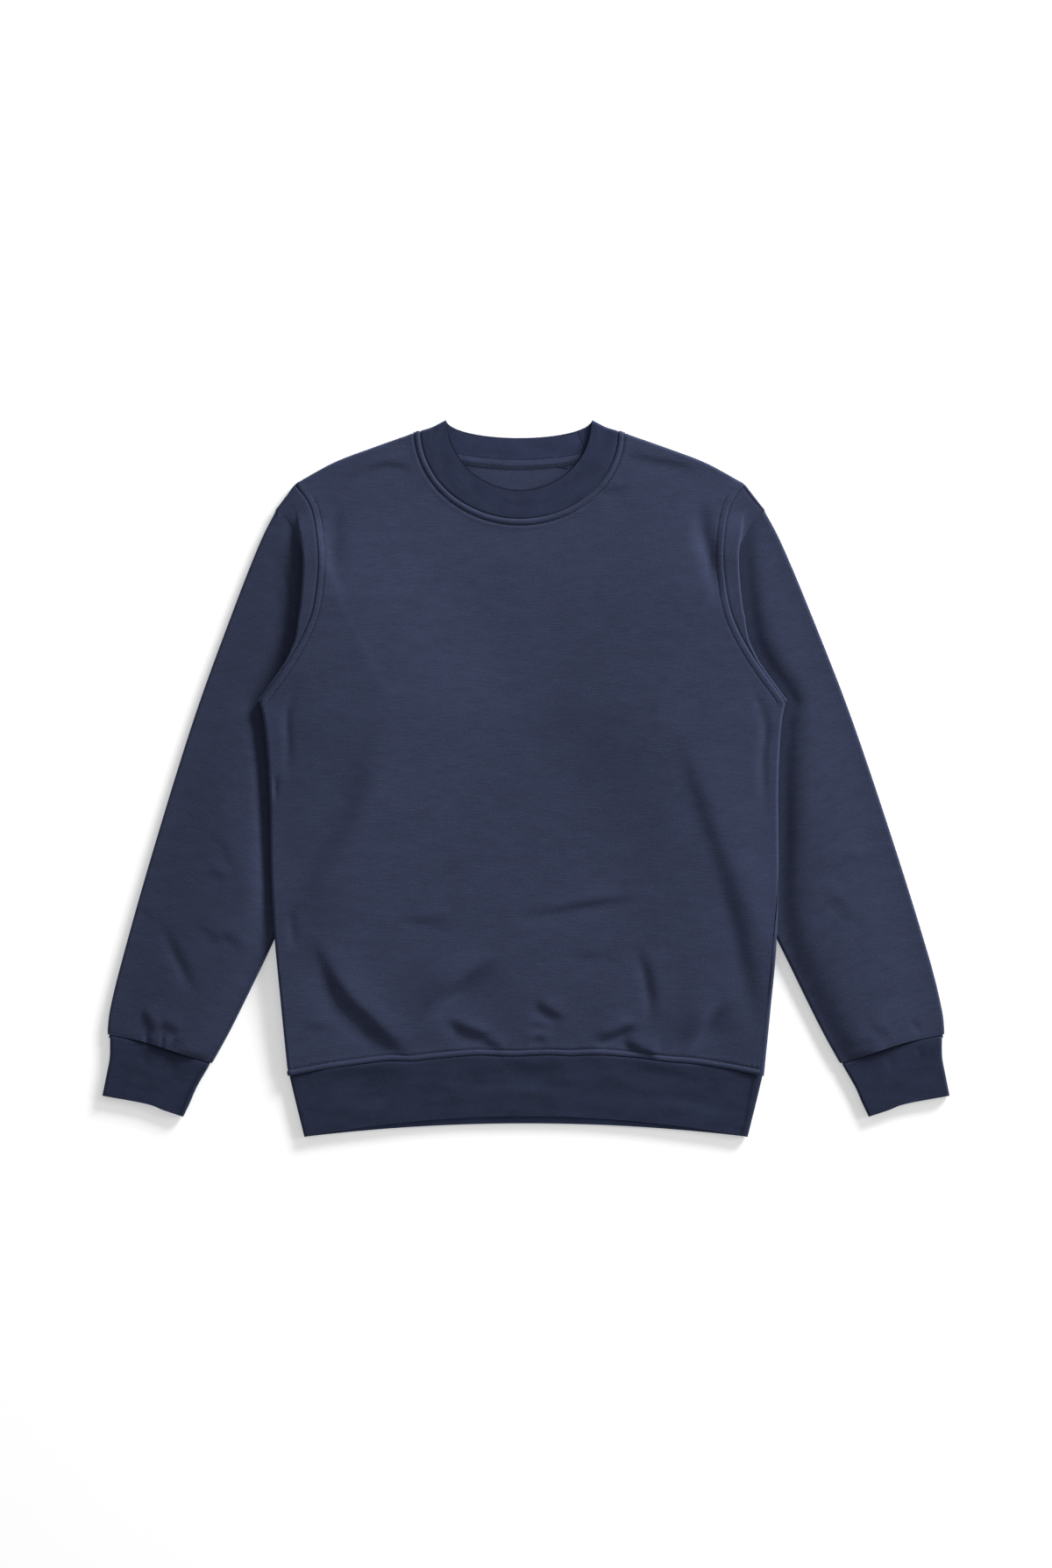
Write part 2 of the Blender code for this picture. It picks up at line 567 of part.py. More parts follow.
def sleeve(name, side, roll):
    """One sleeve: a single cut, folded down its outer edge and sewn to itself along its underarm seam.
    side is 1 for the wearer's left and -1 for the right."""
    flat_rows = np.linspace(8.0, SLEEVE_LENGTH - SEAM_GAP / 2, 13) / SLEEVE_LENGTH
    ups = np.concatenate([np.zeros(PLEAT_ROWS), flat_rows])
    seam_count, middle = 3, len(ARMHOLE_ROWS)

    def front(across, row):
        if row < PLEAT_ROWS:
            return pleat_front(across)[:, row]
        plan = row_of(SLEEVE_PATCH, ups[row])(across)
        return with_height(plan, sleeve_height(plan))

    def back(across, row):
        if row < PLEAT_ROWS:
            return pleat_back(across)[:, row]
        return with_height(row_of(SLEEVE_PATCH, ups[row])(across), FLEECE / 2)

    def columns(row):
        in_pleat = row < PLEAT_ROWS
        rolled, loft = roll * smoothstep(ups[row] / 0.3), 0.0
        reach = [ARMHOLE_LINE.length] * 2
        if not in_pleat:
            reach = [edge_reach(SLEEVE_PATCH, ups[row], end) for end in (0, 1)]
            loft = float(sleeve_loft(*SLEEVE_PATCH(1.0, ups[row])))
        inner, inner_drop = seam_columns(FRONT, seam_count, rolled, loft)
        under, under_drop = seam_columns(BACK, seam_count, rolled, loft)
        inset, outer_drop = edge_path(np.linspace(2.2, -2.2, 7) * LOFT / 2, LOFT)
        outer = (inset + FLEECE / 2) / reach[0]
        inner, under = 1 - inner / reach[1], 1 - under / reach[1]
        over = below = armhole_share(ARMHOLE_ROWS)
        if not in_pleat:
            over = np.linspace(inner[-1], outer[0], middle + 2)[1:-1]
            below = np.linspace(under[-1], outer[-1], middle + 2)[1:-1]
        across = np.concatenate([inner, over, outer, below[::-1], under[::-1]])
        drop = [inner_drop, np.zeros(middle), outer_drop, np.ones(middle), under_drop[::-1]]
        return across, across, np.concatenate(drop)

    grid = lay(front, back, columns, len(ups))
    fullness = (sleeve_loft(grid[..., 0], grid[..., 1]) - PRESSED_LOFT) / (LOFT - PRESSED_LOFT)
    thickness = mix(PRESSED_FLEECE, FLEECE, fullness)
    wall(name, one_side(grid, side), thickness[:, ::side], NAVY)


def one_side(grid, side):
    """The grid on the wearer's left, or mirrored on the right with its columns still in the same turn."""
    if side > 0:
        return grid
    return grid[:, ::-1] * [-1, 1, 1]


# Rib pieces are flattened rings.


def ring(name, front_plan, back_plan, ups, front_shares, back_shares, side=1):
    """A flattened tube of doubled rib. Its columns run over the front, round one fold, over the back
    and round the other fold."""
    inset, drop = edge_path(np.linspace(2.0, -2.0, 7) * RIB_LOFT / 2, RIB_LOFT)

    def round_shares(plan, row):
        """The shares across on one layer's outline, once round the ring."""
        left, right = ((inset + RIB / 2) / edge_reach(plan, ups[row], end) for end in (0, 1))
        over, below = (np.clip(shares, left.max(), 1 - right.max()) for shares in (front_shares, back_shares))
        return np.concatenate([over, 1 - right, below[::-1], left[::-1]])

    def columns(row):
        flat = np.zeros(len(front_shares)), np.ones(len(back_shares))
        drops = np.concatenate([flat[0], drop, flat[1], drop[::-1]])
        return round_shares(front_plan, row), round_shares(back_plan, row), drops

    def layer(plan, height):
        return lambda across, row: with_height(row_of(plan, ups[row])(across), height)

    grid = lay(layer(front_plan, RIB / 2 + RIB_LOFT), layer(back_plan, RIB / 2), columns, len(ups))
    wall(name, one_side(grid, side), RIB, NAVY_RIB, closed=True)


def inner_shares(shares, reach):
    """The shares that lie clear of the folds at both ends."""
    return shares[(shares > reach) & (shares < 1 - reach)]


def hem_band():
    side = smooth_curve(BAND_SIDE)

    def plan(edge_y, seam_y):
        bottom = hem_curve(BAND_HALF, edge_y, BAND_CORNER_Y)
        top = hem_curve(BAND_TOP_HALF, seam_y, HEM_CORNER_Y - 1)
        return patch(bottom, top, mirrored(side), side)

    ups = np.array([0.0, 0.2, 0.55, 0.9, 1 - SEAM_GAP / 66.0])
    shares = np.linspace(0.015, 0.985, 16)
    ring("hem_band", plan(FRONT_BAND_Y, FRONT_HEM_Y), plan(BACK_BAND_Y, BACK_HEM_Y), ups, shares, shares)


def cuff(name, side):
    edges = [smooth_curve(edge) for edge in (CUFF_END, CUFF_TOP, CUFF_INNER, CUFF_OUTER)]
    plan = patch(*edges)
    ups = np.array([0.0, 0.12, 0.5, 0.85, 1.0])
    shares = np.linspace(0.07, 0.93, 7)
    ring(name, plan, plan, ups, shares, shares, side)


def collar(front_shares, back_shares):
    fold = smooth_curve(COLLAR_FOLD)
    plans = [
        patch(neck_curve(NECK_POINT, seam_drop), neck_curve(COLLAR_PEAK, edge_drop), mirrored(fold), fold)
        for seam_drop, edge_drop in ((FRONT_NECK_DROP, FRONT_COLLAR_DROP), (BACK_NECK_DROP, BACK_COLLAR_DROP))
    ]
    ups = np.array([SEAM_GAP / 2 / 29.0, 0.3, 0.75, 1.0])
    ring("collar", *plans, ups, inner_shares(front_shares, 0.03), inner_shares(back_shares, 0.03))


def neck_tape():
    """The strip that covers the back neck seam inside. It lies on the back panel."""
    seam = neck_curve(NECK_POINT, BACK_NECK_DROP)(np.linspace(*TAPE_ENDS, 21))
    height = FLEECE + SEAM_GAP + TAPE / 2
    rows = [with_height(seam - [0, below], height) for below in (TAPE_WIDTH, TAPE_WIDTH / 2, SEAM_GAP)]
    wall("neck_tape", np.array(rows), TAPE, NAVY)


def main():
    for old in list(bpy.data.objects):
        bpy.data.objects.remove(old)
    front_rows = body_rows((SEAM_GAP / 2, 3.0, 7.0, 10.0))
    back_rows = body_rows((SEAM_GAP / 2, 10.0))
    front_neck = body_panel("front_panel", FRONT, FRONT_NECK_DROP, FRONT_HEM_Y, front_rows)
    back_neck = body_panel("back_panel", BACK, BACK_NECK_DROP, BACK_HEM_Y, back_rows)
    sleeve("sleeve_right", -1, RIGHT_SLEEVE_ROLL)
    sleeve("sleeve_left", 1, LEFT_SLEEVE_ROLL)
    hem_band()
    cuff("cuff_right", -1)
    cuff("cuff_left", 1)
    collar(front_neck, back_neck)
    neck_tape()


main()
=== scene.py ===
"""Crewneck sweatshirt laid flat: its cloth with creases, rolled seams, topstitching and rib, seen from above.

Sizes are in millimetres. +X runs across the body to the wearer's left, +Y to the neck and +Z up.
Outlines are for the side at +X: how far out from the centre line, and how far up.
"""

import math

import bpy
import numpy as np
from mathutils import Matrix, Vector

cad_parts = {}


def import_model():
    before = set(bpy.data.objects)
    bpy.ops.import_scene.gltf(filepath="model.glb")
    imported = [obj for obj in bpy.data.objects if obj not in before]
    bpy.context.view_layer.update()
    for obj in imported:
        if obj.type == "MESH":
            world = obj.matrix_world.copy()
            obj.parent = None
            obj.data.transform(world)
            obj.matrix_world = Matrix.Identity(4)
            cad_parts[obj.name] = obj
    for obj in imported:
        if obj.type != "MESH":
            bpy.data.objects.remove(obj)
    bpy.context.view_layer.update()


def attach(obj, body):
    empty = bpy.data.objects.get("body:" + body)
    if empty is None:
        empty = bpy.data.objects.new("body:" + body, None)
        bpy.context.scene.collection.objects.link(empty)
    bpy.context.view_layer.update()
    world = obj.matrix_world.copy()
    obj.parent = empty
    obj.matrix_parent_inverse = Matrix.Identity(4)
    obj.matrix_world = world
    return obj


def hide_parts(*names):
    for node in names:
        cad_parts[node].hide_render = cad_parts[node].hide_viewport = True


METRES = 0.001

# Cloth
FLEECE = 1.6  # one layer of brushed fleece
RIB = 2.6  # rib knit, folded double
SEAM_GAP = 0.3  # between the pieces on the two sides of a seam
LOFT = 4.0  # from the middle of the back layer to the middle of the front layer
RIB_LOFT = 3.4

# Body
HEM_HALF, HEM_CORNER_Y = 244.4, -306.0  # where the hem seam meets the side seams
FRONT_HEM_Y, BACK_HEM_Y = -281.0, -288.6  # the hem seam at the centre
UNDERARM = (269.6, 78.3)
SHOULDER = (230.9, 302.5)
NECK_POINT = (101.7, 357.0)  # where the collar seam crosses the shoulder
SIDE = [
    (HEM_HALF, HEM_CORNER_Y), (251.6, -234), (257.4, -168), (260.3, -100),
    (261, -10), (264.7, 52), UNDERARM,
]
ARMHOLE = [SHOULDER, (214.7, 277), (208.3, 238), (209, 205), (216, 166.5), (236, 126), UNDERARM]
SHOULDER_SLOPE = [SHOULDER, (191.7, 324), (154.4, 338.4), NECK_POINT]
LEFT_SEAM_ROLL, RIGHT_SEAM_ROLL = 5.0, -3.5  # how far on to the front each side seam has rolled

# Hem band
BAND_TOP_HALF, BAND_HALF, BAND_CORNER_Y = 243.0, 227.7, -368.4
FRONT_BAND_Y, BACK_BAND_Y = -347.0, -354.6  # its lower edge at the centre
BAND_SIDE = [(BAND_HALF, BAND_CORNER_Y), (236.5, -333), (BAND_TOP_HALF, HEM_CORNER_Y + SEAM_GAP)]

# Collar: its edges are the lower halves of ellipses
FRONT_NECK_DROP, BACK_NECK_DROP = 90.6, 29.4
COLLAR_PEAK = (74.8, 368.4)  # where the collar folds from front to back
COLLAR_FOLD = [NECK_POINT, (89, 361), COLLAR_PEAK]
FRONT_COLLAR_DROP, BACK_COLLAR_DROP = 73.3, 18.7
TAPE_WIDTH = 9.5
TAPE_ENDS = 0.10, 0.90  # as shares of the back neck seam
TAPE_THICKNESS, TAPE_GAP = (0.7, 0.5), 0.1  # at its upper and its pressed lower edge, and over the back panel
TAPE_STITCHES = 1.2, 2.9  # above its lower edge
TAPE_FURROWS, TAPE_ROUND = (0.25, 0.2), 0.12  # how deep the stitches sink, and how far its middle stands out
# The lip is drawn as the rib's inner layer. Its dark colour is painted shade for the shadow in the crevice
# inside the collar's front edge.
LIP, LIP_THICKNESS = 1.3, 1.0  # how far the inner layer of the collar's front shows inside its edge
LIP_LINES = -3.0, -1.5, 0.0, LIP * 0.6, LIP
LIP_END, LEAST_LIP = 0.1, 0.3  # it narrows over this share at each end, down to this share of its width

# Sleeves
SLEEVE_LENGTH = 380.0  # of the stretch that lies on the surface
OUTER_EDGE = [
    (249.8, 277), (268.2, 241), (297.5, 169), (338, 61),
    (381.6, -74), (413.6, -182), (427, -236), (430.2, -263),
]
INNER_EDGE = [(144, 71), (203, -52), (260.6, -171), (300.2, -252), (322.5, -293)]
CUFF_SEAM = [(430.2, -263), (390, -271.5), (351, -284), (322.5, -293)]
CUFF_OUTER = [(435.2, -326), (430.6, -303), (427.6, -286), (427.4, -264.3)]
CUFF_INNER = [(352, -347.6), (345, -333), (338, -317), (324.6, -293.6)]
CUFF_END = [(352, -347.6), (372, -341), (390, -334.4), (435.2, -326)]
CUFF_TOP = [(324.6, -293.6), (351, -285.2), (390, -272.7), (427.4, -264.3)]
TUCK_CORNER, TUCK_HEAD, TUCK_FOOT = (144, 71), (234, 258), (260.6, -171)  # the stretch hidden under the body
TUCK_FOLD = [(249.8, 277), TUCK_HEAD, (201, 190), TUCK_CORNER]  # where the sleeve turns back out
RIGHT_SLEEVE_ROLL, LEFT_SLEEVE_ROLL = 3.2, -2.5  # how far on to the front each underarm seam has rolled

# Layers where a sleeve is tucked under the body
PLEAT = [  # share of the armhole from the shoulder down, and how far the pleat stands out from its seam
    (0.0, 17.0), (0.2, 17.5), (0.3, 16.0), (0.5, 14.0), (0.6, 11.5), (0.7, 4.6), (0.8, 2.0), (1.0, 1.6),
]
PLEAT_ROUND = 1.2  # the radius of its edge
PLEAT_RAMP = 0.2  # the share of its drop that it steps down where it can't come back
FOLDED_OVERHANG = 12.0  # a pleat that stands out this far beyond the hidden fold comes back in full
TURNED_OVERHANG = 4.0  # and over this distance the sleeve's back starts to turn
HIDDEN_BULGE = 1.5  # of the sleeve's back round its front, in pressed lofts
TUCK_EASE = 0.5  # how far the hidden fold's shares lag behind the armhole's
LAPPED_FROM, LAPPED_RISE = 2.2, 2.5  # how high the body is raised where the sleeve's back starts to run in
SHOULDER_BLEND = 0.2  # the share of the armhole over which the pleat's direction settles
PRESSED_LOFT = 2.1  # between layers that lie pressed together
PRESSED_FLEECE = 1.1  # a layer that the body presses flat
FILLING_OUT = -13.0, 21.0  # how far beyond the body the sleeve starts to fill out, and is full
PRESSED_FOOT, PRESSED_HEAD = (-175.0, -55.0), (275.0, 239.0)  # from full to pressed, at either end of its way
TUCK_ROUND = 5.0  # of the corner of the stretch under the body
TUCK_MARGIN = 8.0  # how far beyond the sleeve the body stays raised
SHOULDER_EASE, SHOULDER_EASE_END = 0.6, 0.06  # the sleeve stands off a little round the panels' fold
LAP, LAP_GAP = 3.9, 0.55  # how far the sleeve's back runs in under the back panel, and its gap there

# How the body rises on to the tucked sleeves: how wide its slope is, between which heights the sleeve's two
# layers become the pleat's four, and between which it comes down to the shoulder
BACK_RISE = {"slope": 32.0, "pleat": (10.0, 60.0), "shoulder": (300.0, 250.0)}
FRONT_RISE = {"slope": 138.0, "pleat": (-110.0, 60.0), "shoulder": (318.0, 170.0)}  # it bridges that slope
BRIDGE_ROUND = 1.2  # how softly the bridge leaves the slopes

# The garment leans a little to one side, as it was laid down
LEAN = -7.2
LEAN_FOOT_Y, LEAN_HEAD_Y = -190.0, 367.0

# Colours of the cloth
NAVY = (0.0313, 0.0394, 0.0797)
# The sleeves' fleece is the body's fleece made about 11 percent darker: painted shade for the shade the
# sleeves lie in.
NAVY_SLEEVE_PAINTED_SHADE = (0.0279, 0.0352, 0.0716)
NAVY_RIB = (0.0170, 0.0229, 0.0508)
NAVY_COLLAR = (0.0203, 0.0270, 0.0608)
NAVY_TAPE = (0.0360, 0.0452, 0.0932)
NAVY_THREAD = (0.0055, 0.0070, 0.0160)

# Seams on the front panel: how far from the seam the topstitching runs, half the width and the depth of the
# furrows there and at the seam, and the width and height of the rolled cloth between them
SEAMS = {
    "neck": {"stitch": 6.5, "furrow": (0.8, 0.45), "roll": (6.0, 0.9), "seam": (0.9, 0.5)},
    "arm": {"stitch": 7.2, "furrow": (0.8, 0.45), "roll": (7.0, 0.2), "seam": (0.9, 0.8)},
    "hem": {"stitch": 6.4, "furrow": (0.9, 0.5), "roll": (6.0, 0.8), "seam": (0.9, 0.5)},
}
NECK_SWELL = 9.5, 2.2, 0.25  # beyond the topstitching: how far from the seam, half its width and its height
HEM_PUCKER, HEM_PUCKER_PITCH = (9.0, 2.6, 0.3), 5.3  # the same for the hem, in small waves
RIB_PITCH = 1.9
BAND_WALES, CUFF_WALES, COLLAR_WALES = 506, 108, 290  # round each ring
RIB_SEAM_ROWS = [3.6, 2.6, 1.7, 0.9]  # from the seam to the rows next to it
ROD_ENDS = 0.18, 0.82  # the shares of a stitch between which it has its full thickness
ALLOWANCE = 1.2  # how thick the seam allowances are

# How far the cloth swells over the air inside, and over what width it does beside each edge
BODY_CROWN = {"height": 2.4, "side": 38.0, "shoulder": 70.0, "neck": 45.0, "hem": 50.0}
SLEEVE_CROWN = {"height": 6.0, "outer": 52.0, "inner": 20.0, "beside": 17.0}
CUFF_FADE = -292.0, -280.0  # the sleeve's crown and creases start between these heights
HEM_WAVE = [  # how far the hem seam sags, across the body
    (-244, 0.0), (-205, 0.0), (-172, -0.8), (-142, -1.2), (-118, -4.0), (-96, -3.6), (-73, -3.0), (-50, -2.6),
    (-30, -4.0), (-10, -4.6), (8, -3.9), (24, -3.2), (45, -3.4), (62, -1.8), (80, -0.9), (98, -1.0),
    (117, -1.0), (135, -1.6), (150, -1.4), (174, 0.0), (200, 0.3), (244, 0.0),
]

# The cloth's slight unevenness: wavelengths across and up, phase, and height
UNDULATIONS = [(143, 231, 0.4, 0.10), (-97, 121, 2.1, 0.07), (63, -171, 4.0, 0.05), (-212, 57, 1.2, 0.07)]

# Creases: half the width of the slope across a line, its step and ridge, the line, and over what share of it
# each end fades. step is how much higher the cloth lies to the left of the line's way than to the right, and
# ridge is the rise of the line itself.
CREASE_FADE = 0.42, 0.42
BODY_CREASES = [
    (7.5, 7.2, 0, [(-225, -150), (-193, -216), (-167, -245), (-140, -270), (-114, -291)], 0.5, 0.3),
    (8, 8.6, -1.6, [(-104, -256), (-96, -240), (-76, -219), (-54, -200), (-28, -182)], 0.5, 0.5),
    (4.6, 4.4, 0.7, [(-85, -246), (-58, -259), (-30, -267)]),
    (4, 2.2, 0, [(-49, -268), (-21, -277)]),
    (4.5, 3.2, 0, [(6, -226), (23, -239), (43, -248)]),
    (2.6, 1.5, 0, [(-1, -254), (13, -253), (26, -257)]),
    (3.2, 1.9, -0.4, [(-1, -276), (12, -267), (24, -274)]),
    (4, 5.6, -0.8, [(67, -270), (86, -265), (101, -257), (117, -253)]),
    (4.2, 3.6, 0, [(98, -268), (112, -276), (134, -285)], 0.3, 0.1),
    (6, 1.8, -1.8, [(110, -167), (121, -193), (125, -211), (128, -230), (128, -258)]),
    (6.5, -6, -1.6, [(207, -225), (192, -243), (179, -261), (162, -279)], 0.5, 0.5),
    (13, 4.8, -1.2, [(192, -60), (207, -110), (218, -150), (227, -193), (236, -240),
        (238, -270)], 0.35, 0.4),
    (6, 1.5, 0, [(48, -184), (71, -181), (94, -172)]),
    (5, 0, -1.2, [(-241, -131), (-238, -179)]),
    (5, 1.4, 0, [(-232, -256), (-194, -254)]),
    (5, 2.6, 0, [(-12, -144), (33, -135), (69, -128), (127, -121)]),
    (6.5, 2, 0, [(-133, -145), (-105, -146), (-80, -144), (-70, -140)]),
    (16, 5, 0, [(-150, 40), (-166, -5), (-189, -57), (-212, -97), (-240, -140)], 0.35, 0.3),
    (11, 3.2, 0, [(152, 57), (173, -2), (188, -45), (202, -85), (216, -122)]),
    (4, 0, -1.4, [(-226, 104), (-241, 68), (-241, 39), (-242, -4)]),
    (3, 0, -1.1, [(-254, 6), (-255, -25)]),
    (4.5, 0, -1.5, [(231, 104), (248, 57), (245, 13), (248, -44)]),
    (5, 1.8, 0, [(-182, 306), (-146, 321), (-121, 321), (-101, 309)]),
    (10, 0, -1.7, [(-186, 290), (-190, 262), (-192, 235), (-188, 190)]),
    (5, 1.8, 0, [(102, 334), (134, 328), (172, 321), (191, 313)]),
    (5, 1.2, 0, [(78, 292), (112, 302)]),
    (8.5, 0, -3.2, [(184, 296), (186, 271), (188, 248), (195, 222), (201, 192), (203, 165)]),
]
SLEEVE_CREASES = {
    -1: [
        (14, 0, -0.9, [(-258, 246), (-250, 226), (-246, 203), (-250, 159), (-256, 135), (-268, 110),
            (-284, 86), (-290, 50), (-289, -20), (-291, -80), (-295, -130)], 0.1, 0.3),
        (4, 0, -1.1, [(-246, 227), (-235, 185), (-229, 162)]),
        (6, 0.7, -1.5, [(-376, -146), (-356, -189), (-337, -228)]),
        (5, 1.2, 0, [(-329, -93), (-303, -103)]),
        (5, 0.9, 0, [(-314, -57), (-298, -94)]),
        (4, 0.8, 0, [(-395, -128), (-382, -144)]),
        (5, 1.4, 0, [(-344, -146), (-317, -163), (-306, -163), (-279, -183)]),
        (4, 2.8, 0, [(-394, -237), (-381, -260)], 0.3, 0.1),
        (2.6, 0, -1.5, [(-391, -259), (-387, -274)], 0.4, 0.05),
        (4, 2.6, 0, [(-378, -250), (-352, -262)]),
        (2.4, 0, -1.4, [(-372, -262), (-374, -276)], 0.4, 0.05),
        (3, 1.8, 0, [(-370, -278), (-360, -265)], 0.05, 0.4),
    ],
    1: [
        (10, 0, -0.9, [(236, 246), (232, 226), (233, 205), (236, 185), (242, 159), (248, 135), (259, 112),
            (276, 86), (278, 50), (275, -20), (274, -80), (275, -130)], 0.1, 0.3),
        (5.5, 1.5, 0, [(288, -97), (304, -95), (362, -72)]),
        (5, 1.2, 0, [(304, -127), (333, -125)]),
        (5, 1.1, 0, [(319, -143), (348, -137)]),
        (5, 1.2, 0, [(354, -232), (400, -198)]),
        (4, 1.6, 0, [(352, -259), (376, -259)]),
        (4, 1.6, 0, [(327, -280), (357, -263)]),
        (3.5, 0, -0.8, [(392, -248), (408, -262)]),
    ],
}
BACK_CREASES = [  # on the side that lies down, the cloth lifts off the floor
    (9, 0, 1.3, [(-212, -214), (-176, -240), (-132, -262)]),
    (7, 0, 1, [(-98, -196), (-72, -232), (-64, -268)]),
    (5.5, 0, 0.8, [(-18, -252), (24, -240), (72, -246)]),
    (8, 0, 1.2, [(118, -266), (142, -232), (182, -206)]),
    (10, 0, 0.9, [(88, -158), (101, -122), (104, -72)]),
    (7, 0, 0.8, [(-124, -96), (-88, -88), (-30, -97)]),
    (9, 0, 0.7, [(-60, 18), (8, 26), (66, 12)]),
    (10, 0, 1, [(-104, 122), (-88, 164), (-92, 214)]),
    (8, 0, 0.7, [(96, 112), (112, 152), (118, 186)]),
    (6, 0, 0.8, [(38, 248), (88, 262), (132, 258)]),
    (5, 0, 0.5, [(-66, 300), (-24, 292), (30, 296)]),
]
UNDER_SLEEVE_CREASES = {
    -1: [
        (6, 0, 1.1, [(-392, -150), (-362, -176), (-324, -186)]),
        (5, 0, 1, [(-404, -218), (-372, -240), (-340, -244)]),
        (7, 0, 0.8, [(-356, -62), (-330, -98), (-292, -112)]),
        (8, 0, 0.7, [(-346, 22), (-322, -8), (-306, -44)]),
    ],
    1: [
        (5.5, 0, 1.1, [(298, -206), (336, -214), (388, -204)]),
        (4.5, 0, 0.9, [(322, -256), (360, -246), (404, -228)]),
        (6.5, 0, 0.9, [(310, -128), (346, -118), (372, -92)]),
        (8, 0, 0.7, [(308, -30), (326, 4), (330, 46)]),
    ],
}
BAND_CREASES = [
    (6, 1.7, 0, [(-26, -293), (12, -297), (50, -293)]),
    (9, 2.2, 0, [(-236, -312), (-190, -304), (-142, -299), (-96, -300)]),
    (7, 1.8, 0, [(104, -292), (140, -299), (186, -307)]),
    (7, -0.9, 0, [(-92, -322), (-20, -318), (66, -322)]),
    (8, -1.1, 0, [(-214, -342), (-160, -333), (-104, -331)]),
    (8, -1, 0, [(120, -330), (170, -336), (212, -346)]),
]
CUFF_CREASES = {
    -1: [
        (5, 0, -0.5, [(-395, -275), (-388, -300)]),
        (5, 0, -0.4, [(-365, -285), (-362, -305)]),
    ],
    1: [
        (5, 0, -0.5, [(372, -280), (376, -305)]),
        (4, 0, -0.4, [(402, -272), (405, -290)]),
    ],
}

# Where the ribs' own seams show
BAND_SEAM = [(235.6, -307), (230.4, -333), (228.6, -345.6), (222.6, -365)]
COLLAR_SEAM = [(60.7, 356.6), (67.0, 339.0)]
THREAD_END = [(39.9, 320.4), (44.5, 319.4), (49.8, 318.9)]

# Knits: each noise's size across and along the cloth, its detail and roughness, and its weight in the colour
FLEECE_PATTERN = {
    "grain": (1.25, 1.1, 2.0, 0.6, 1.15),
    "slub": (14.0, 1.4, 2.0, 0.6, 0.55),
    "wales": (1.25, 9.0, 1.0, 0.5, 0.2),
    "mottle": (30.0, 11.0, 3.0, 0.6, 0.40),
}
RIB_PATTERN = {
    "grain": (1.1, 1.1, 2.0, 0.6, 1.25),
    "slub": (2.2, 14.0, 2.0, 0.6, 0.12),
    "mottle": (34.0, 13.0, 3.0, 0.55, 0.9),
}
SLUB_RELIEF = 0.7  # of the fleece, beside the grain's
WALE_SHADE, WALE_RELIEF = 0.01, 0.12  # of the rib
KNIT_RELIEF = 0.0002  # in metres
FLEECE_FINISH, RIB_FINISH, THREAD_FINISH = (0.92, 0.1), (0.9, 0.08), (0.8, 0.1)  # roughness and sheen
SPECULAR, SHEEN_ROUGHNESS, SHEEN_TINT = 0.18, 0.5, (0.5, 0.62, 1.0, 1.0)
# The collar's lip is 0.42 times as dark as the collar's rib: painted shade.
# The rib's inner face is made 1.9 times as light: painted light that offsets the shadow the hem band's front
# layer casts on the strip of its back layer that shows.
RIB_INSIDE_PAINTED_LIGHT_SHARE, LIP_PAINTED_SHADE_SHARE, COLLAR_INSIDE_SHARE = 1.9, 0.42, 1.12  # of the rib's colour

# Light, paper and camera
WHITE = (1.0, 1.0, 1.0, 1.0)
AMBIENT = 0.34
LAMPS = [  # power in watts, width and height in metres, and place
    {"name": "head_lamp", "power": 515.0, "size": (2.4, 1.2), "place": (3.4, 4.1, 1.55)},
    {"name": "right_lamp", "power": 74.0, "size": (1.6, 1.0), "place": (4.9, 0.6, 1.8)},
    {"name": "left_lamp", "power": 12.0, "size": (1.6, 1.0), "place": (-4.9, 0.8, 1.6)},
]
PAPER, PAPER_GLOW = (0.93, 0.93, 0.93), 0.318
PAPER_HALF, PAPER_DROP = 6000.0, 0.5
PICTURE_HEIGHT = 1.6101  # in metres, at the height of the camera's target
CAMERA_TARGET = (0.0, -0.00585, 0.006)
LENS, SENSOR = 100.0, 36.0

# Grids
FRONT, BACK = 0, 1
FRONT_MESH, BACK_MESH = (3.3, 149), (5.5, 90)  # the step between rows, and the columns between the edges
EDGE_STEP = 1.0  # between the rows or columns next to a seam
ARMHOLE_CORNER = 2.5  # from the ends of the armhole to the next rows
PLEAT_ROWS = 40
FRONT_STOPS = {0: 0, 12: 1, 22: 12, 30: 13, 39: 24}  # the place in the pleat's path of some of its rows
BACK_STOPS = {0: 0, 12: 1, 39: 24}
LEAST_STEP = 0.12  # between the rows of a pleat
LEAST_ROOM = 0.2  # between the two layers of a sleeve
ROUND_SLEEVE = np.linspace(2.2, -2.2, 11)  # columns round the fold of a sleeve, in radii
ROUND_RIB = np.linspace(2.0, -2.0, 13)
NARROWED = 0.55  # how much of its inset the sleeve's fold has at the shoulder
AT_SHOULDER = 0.004  # of the body's edge, where a row takes its reach from beyond the shoulder
SEAM_STEPS = 14  # rows next to the hem and neck seams
INNER_SHARE = 0.02, 0.98  # where the direction of a curve's ends is taken


def smoothstep(x):
    x = np.clip(x, 0.0, 1.0)
    return x * x * (3 - 2 * x)


def mix(a, b, share):
    return a + (b - a) * share


def between(value, ends):
    """0 at the first end and 1 at the second, with a smooth way between them."""
    return smoothstep((value - ends[0]) / (ends[1] - ends[0]))


def unit(vectors):
    return vectors / np.linalg.norm(vectors, axis=-1, keepdims=True)


def cross(a, b):
    """The cross product of flat vectors."""
    return a[..., 0] * b[..., 1] - a[..., 1] * b[..., 0]


def with_height(plan, height):
    return np.concatenate([plan, np.broadcast_to(height, plan.shape[:-1])[..., None]], axis=-1)


def line(points):
    """The line through the points, as a function of the share of its length."""
    points = np.array(points, float)
    travelled = np.concatenate([[0], np.cumsum(np.linalg.norm(np.diff(points, axis=0), axis=1))])

    def at(share):
        way = np.asarray(share, float) * travelled[-1]
        return np.stack([np.interp(way, travelled, points[:, k]) for k in range(2)], axis=-1)

    at.length = travelled[-1]
    at.points = points
    return at


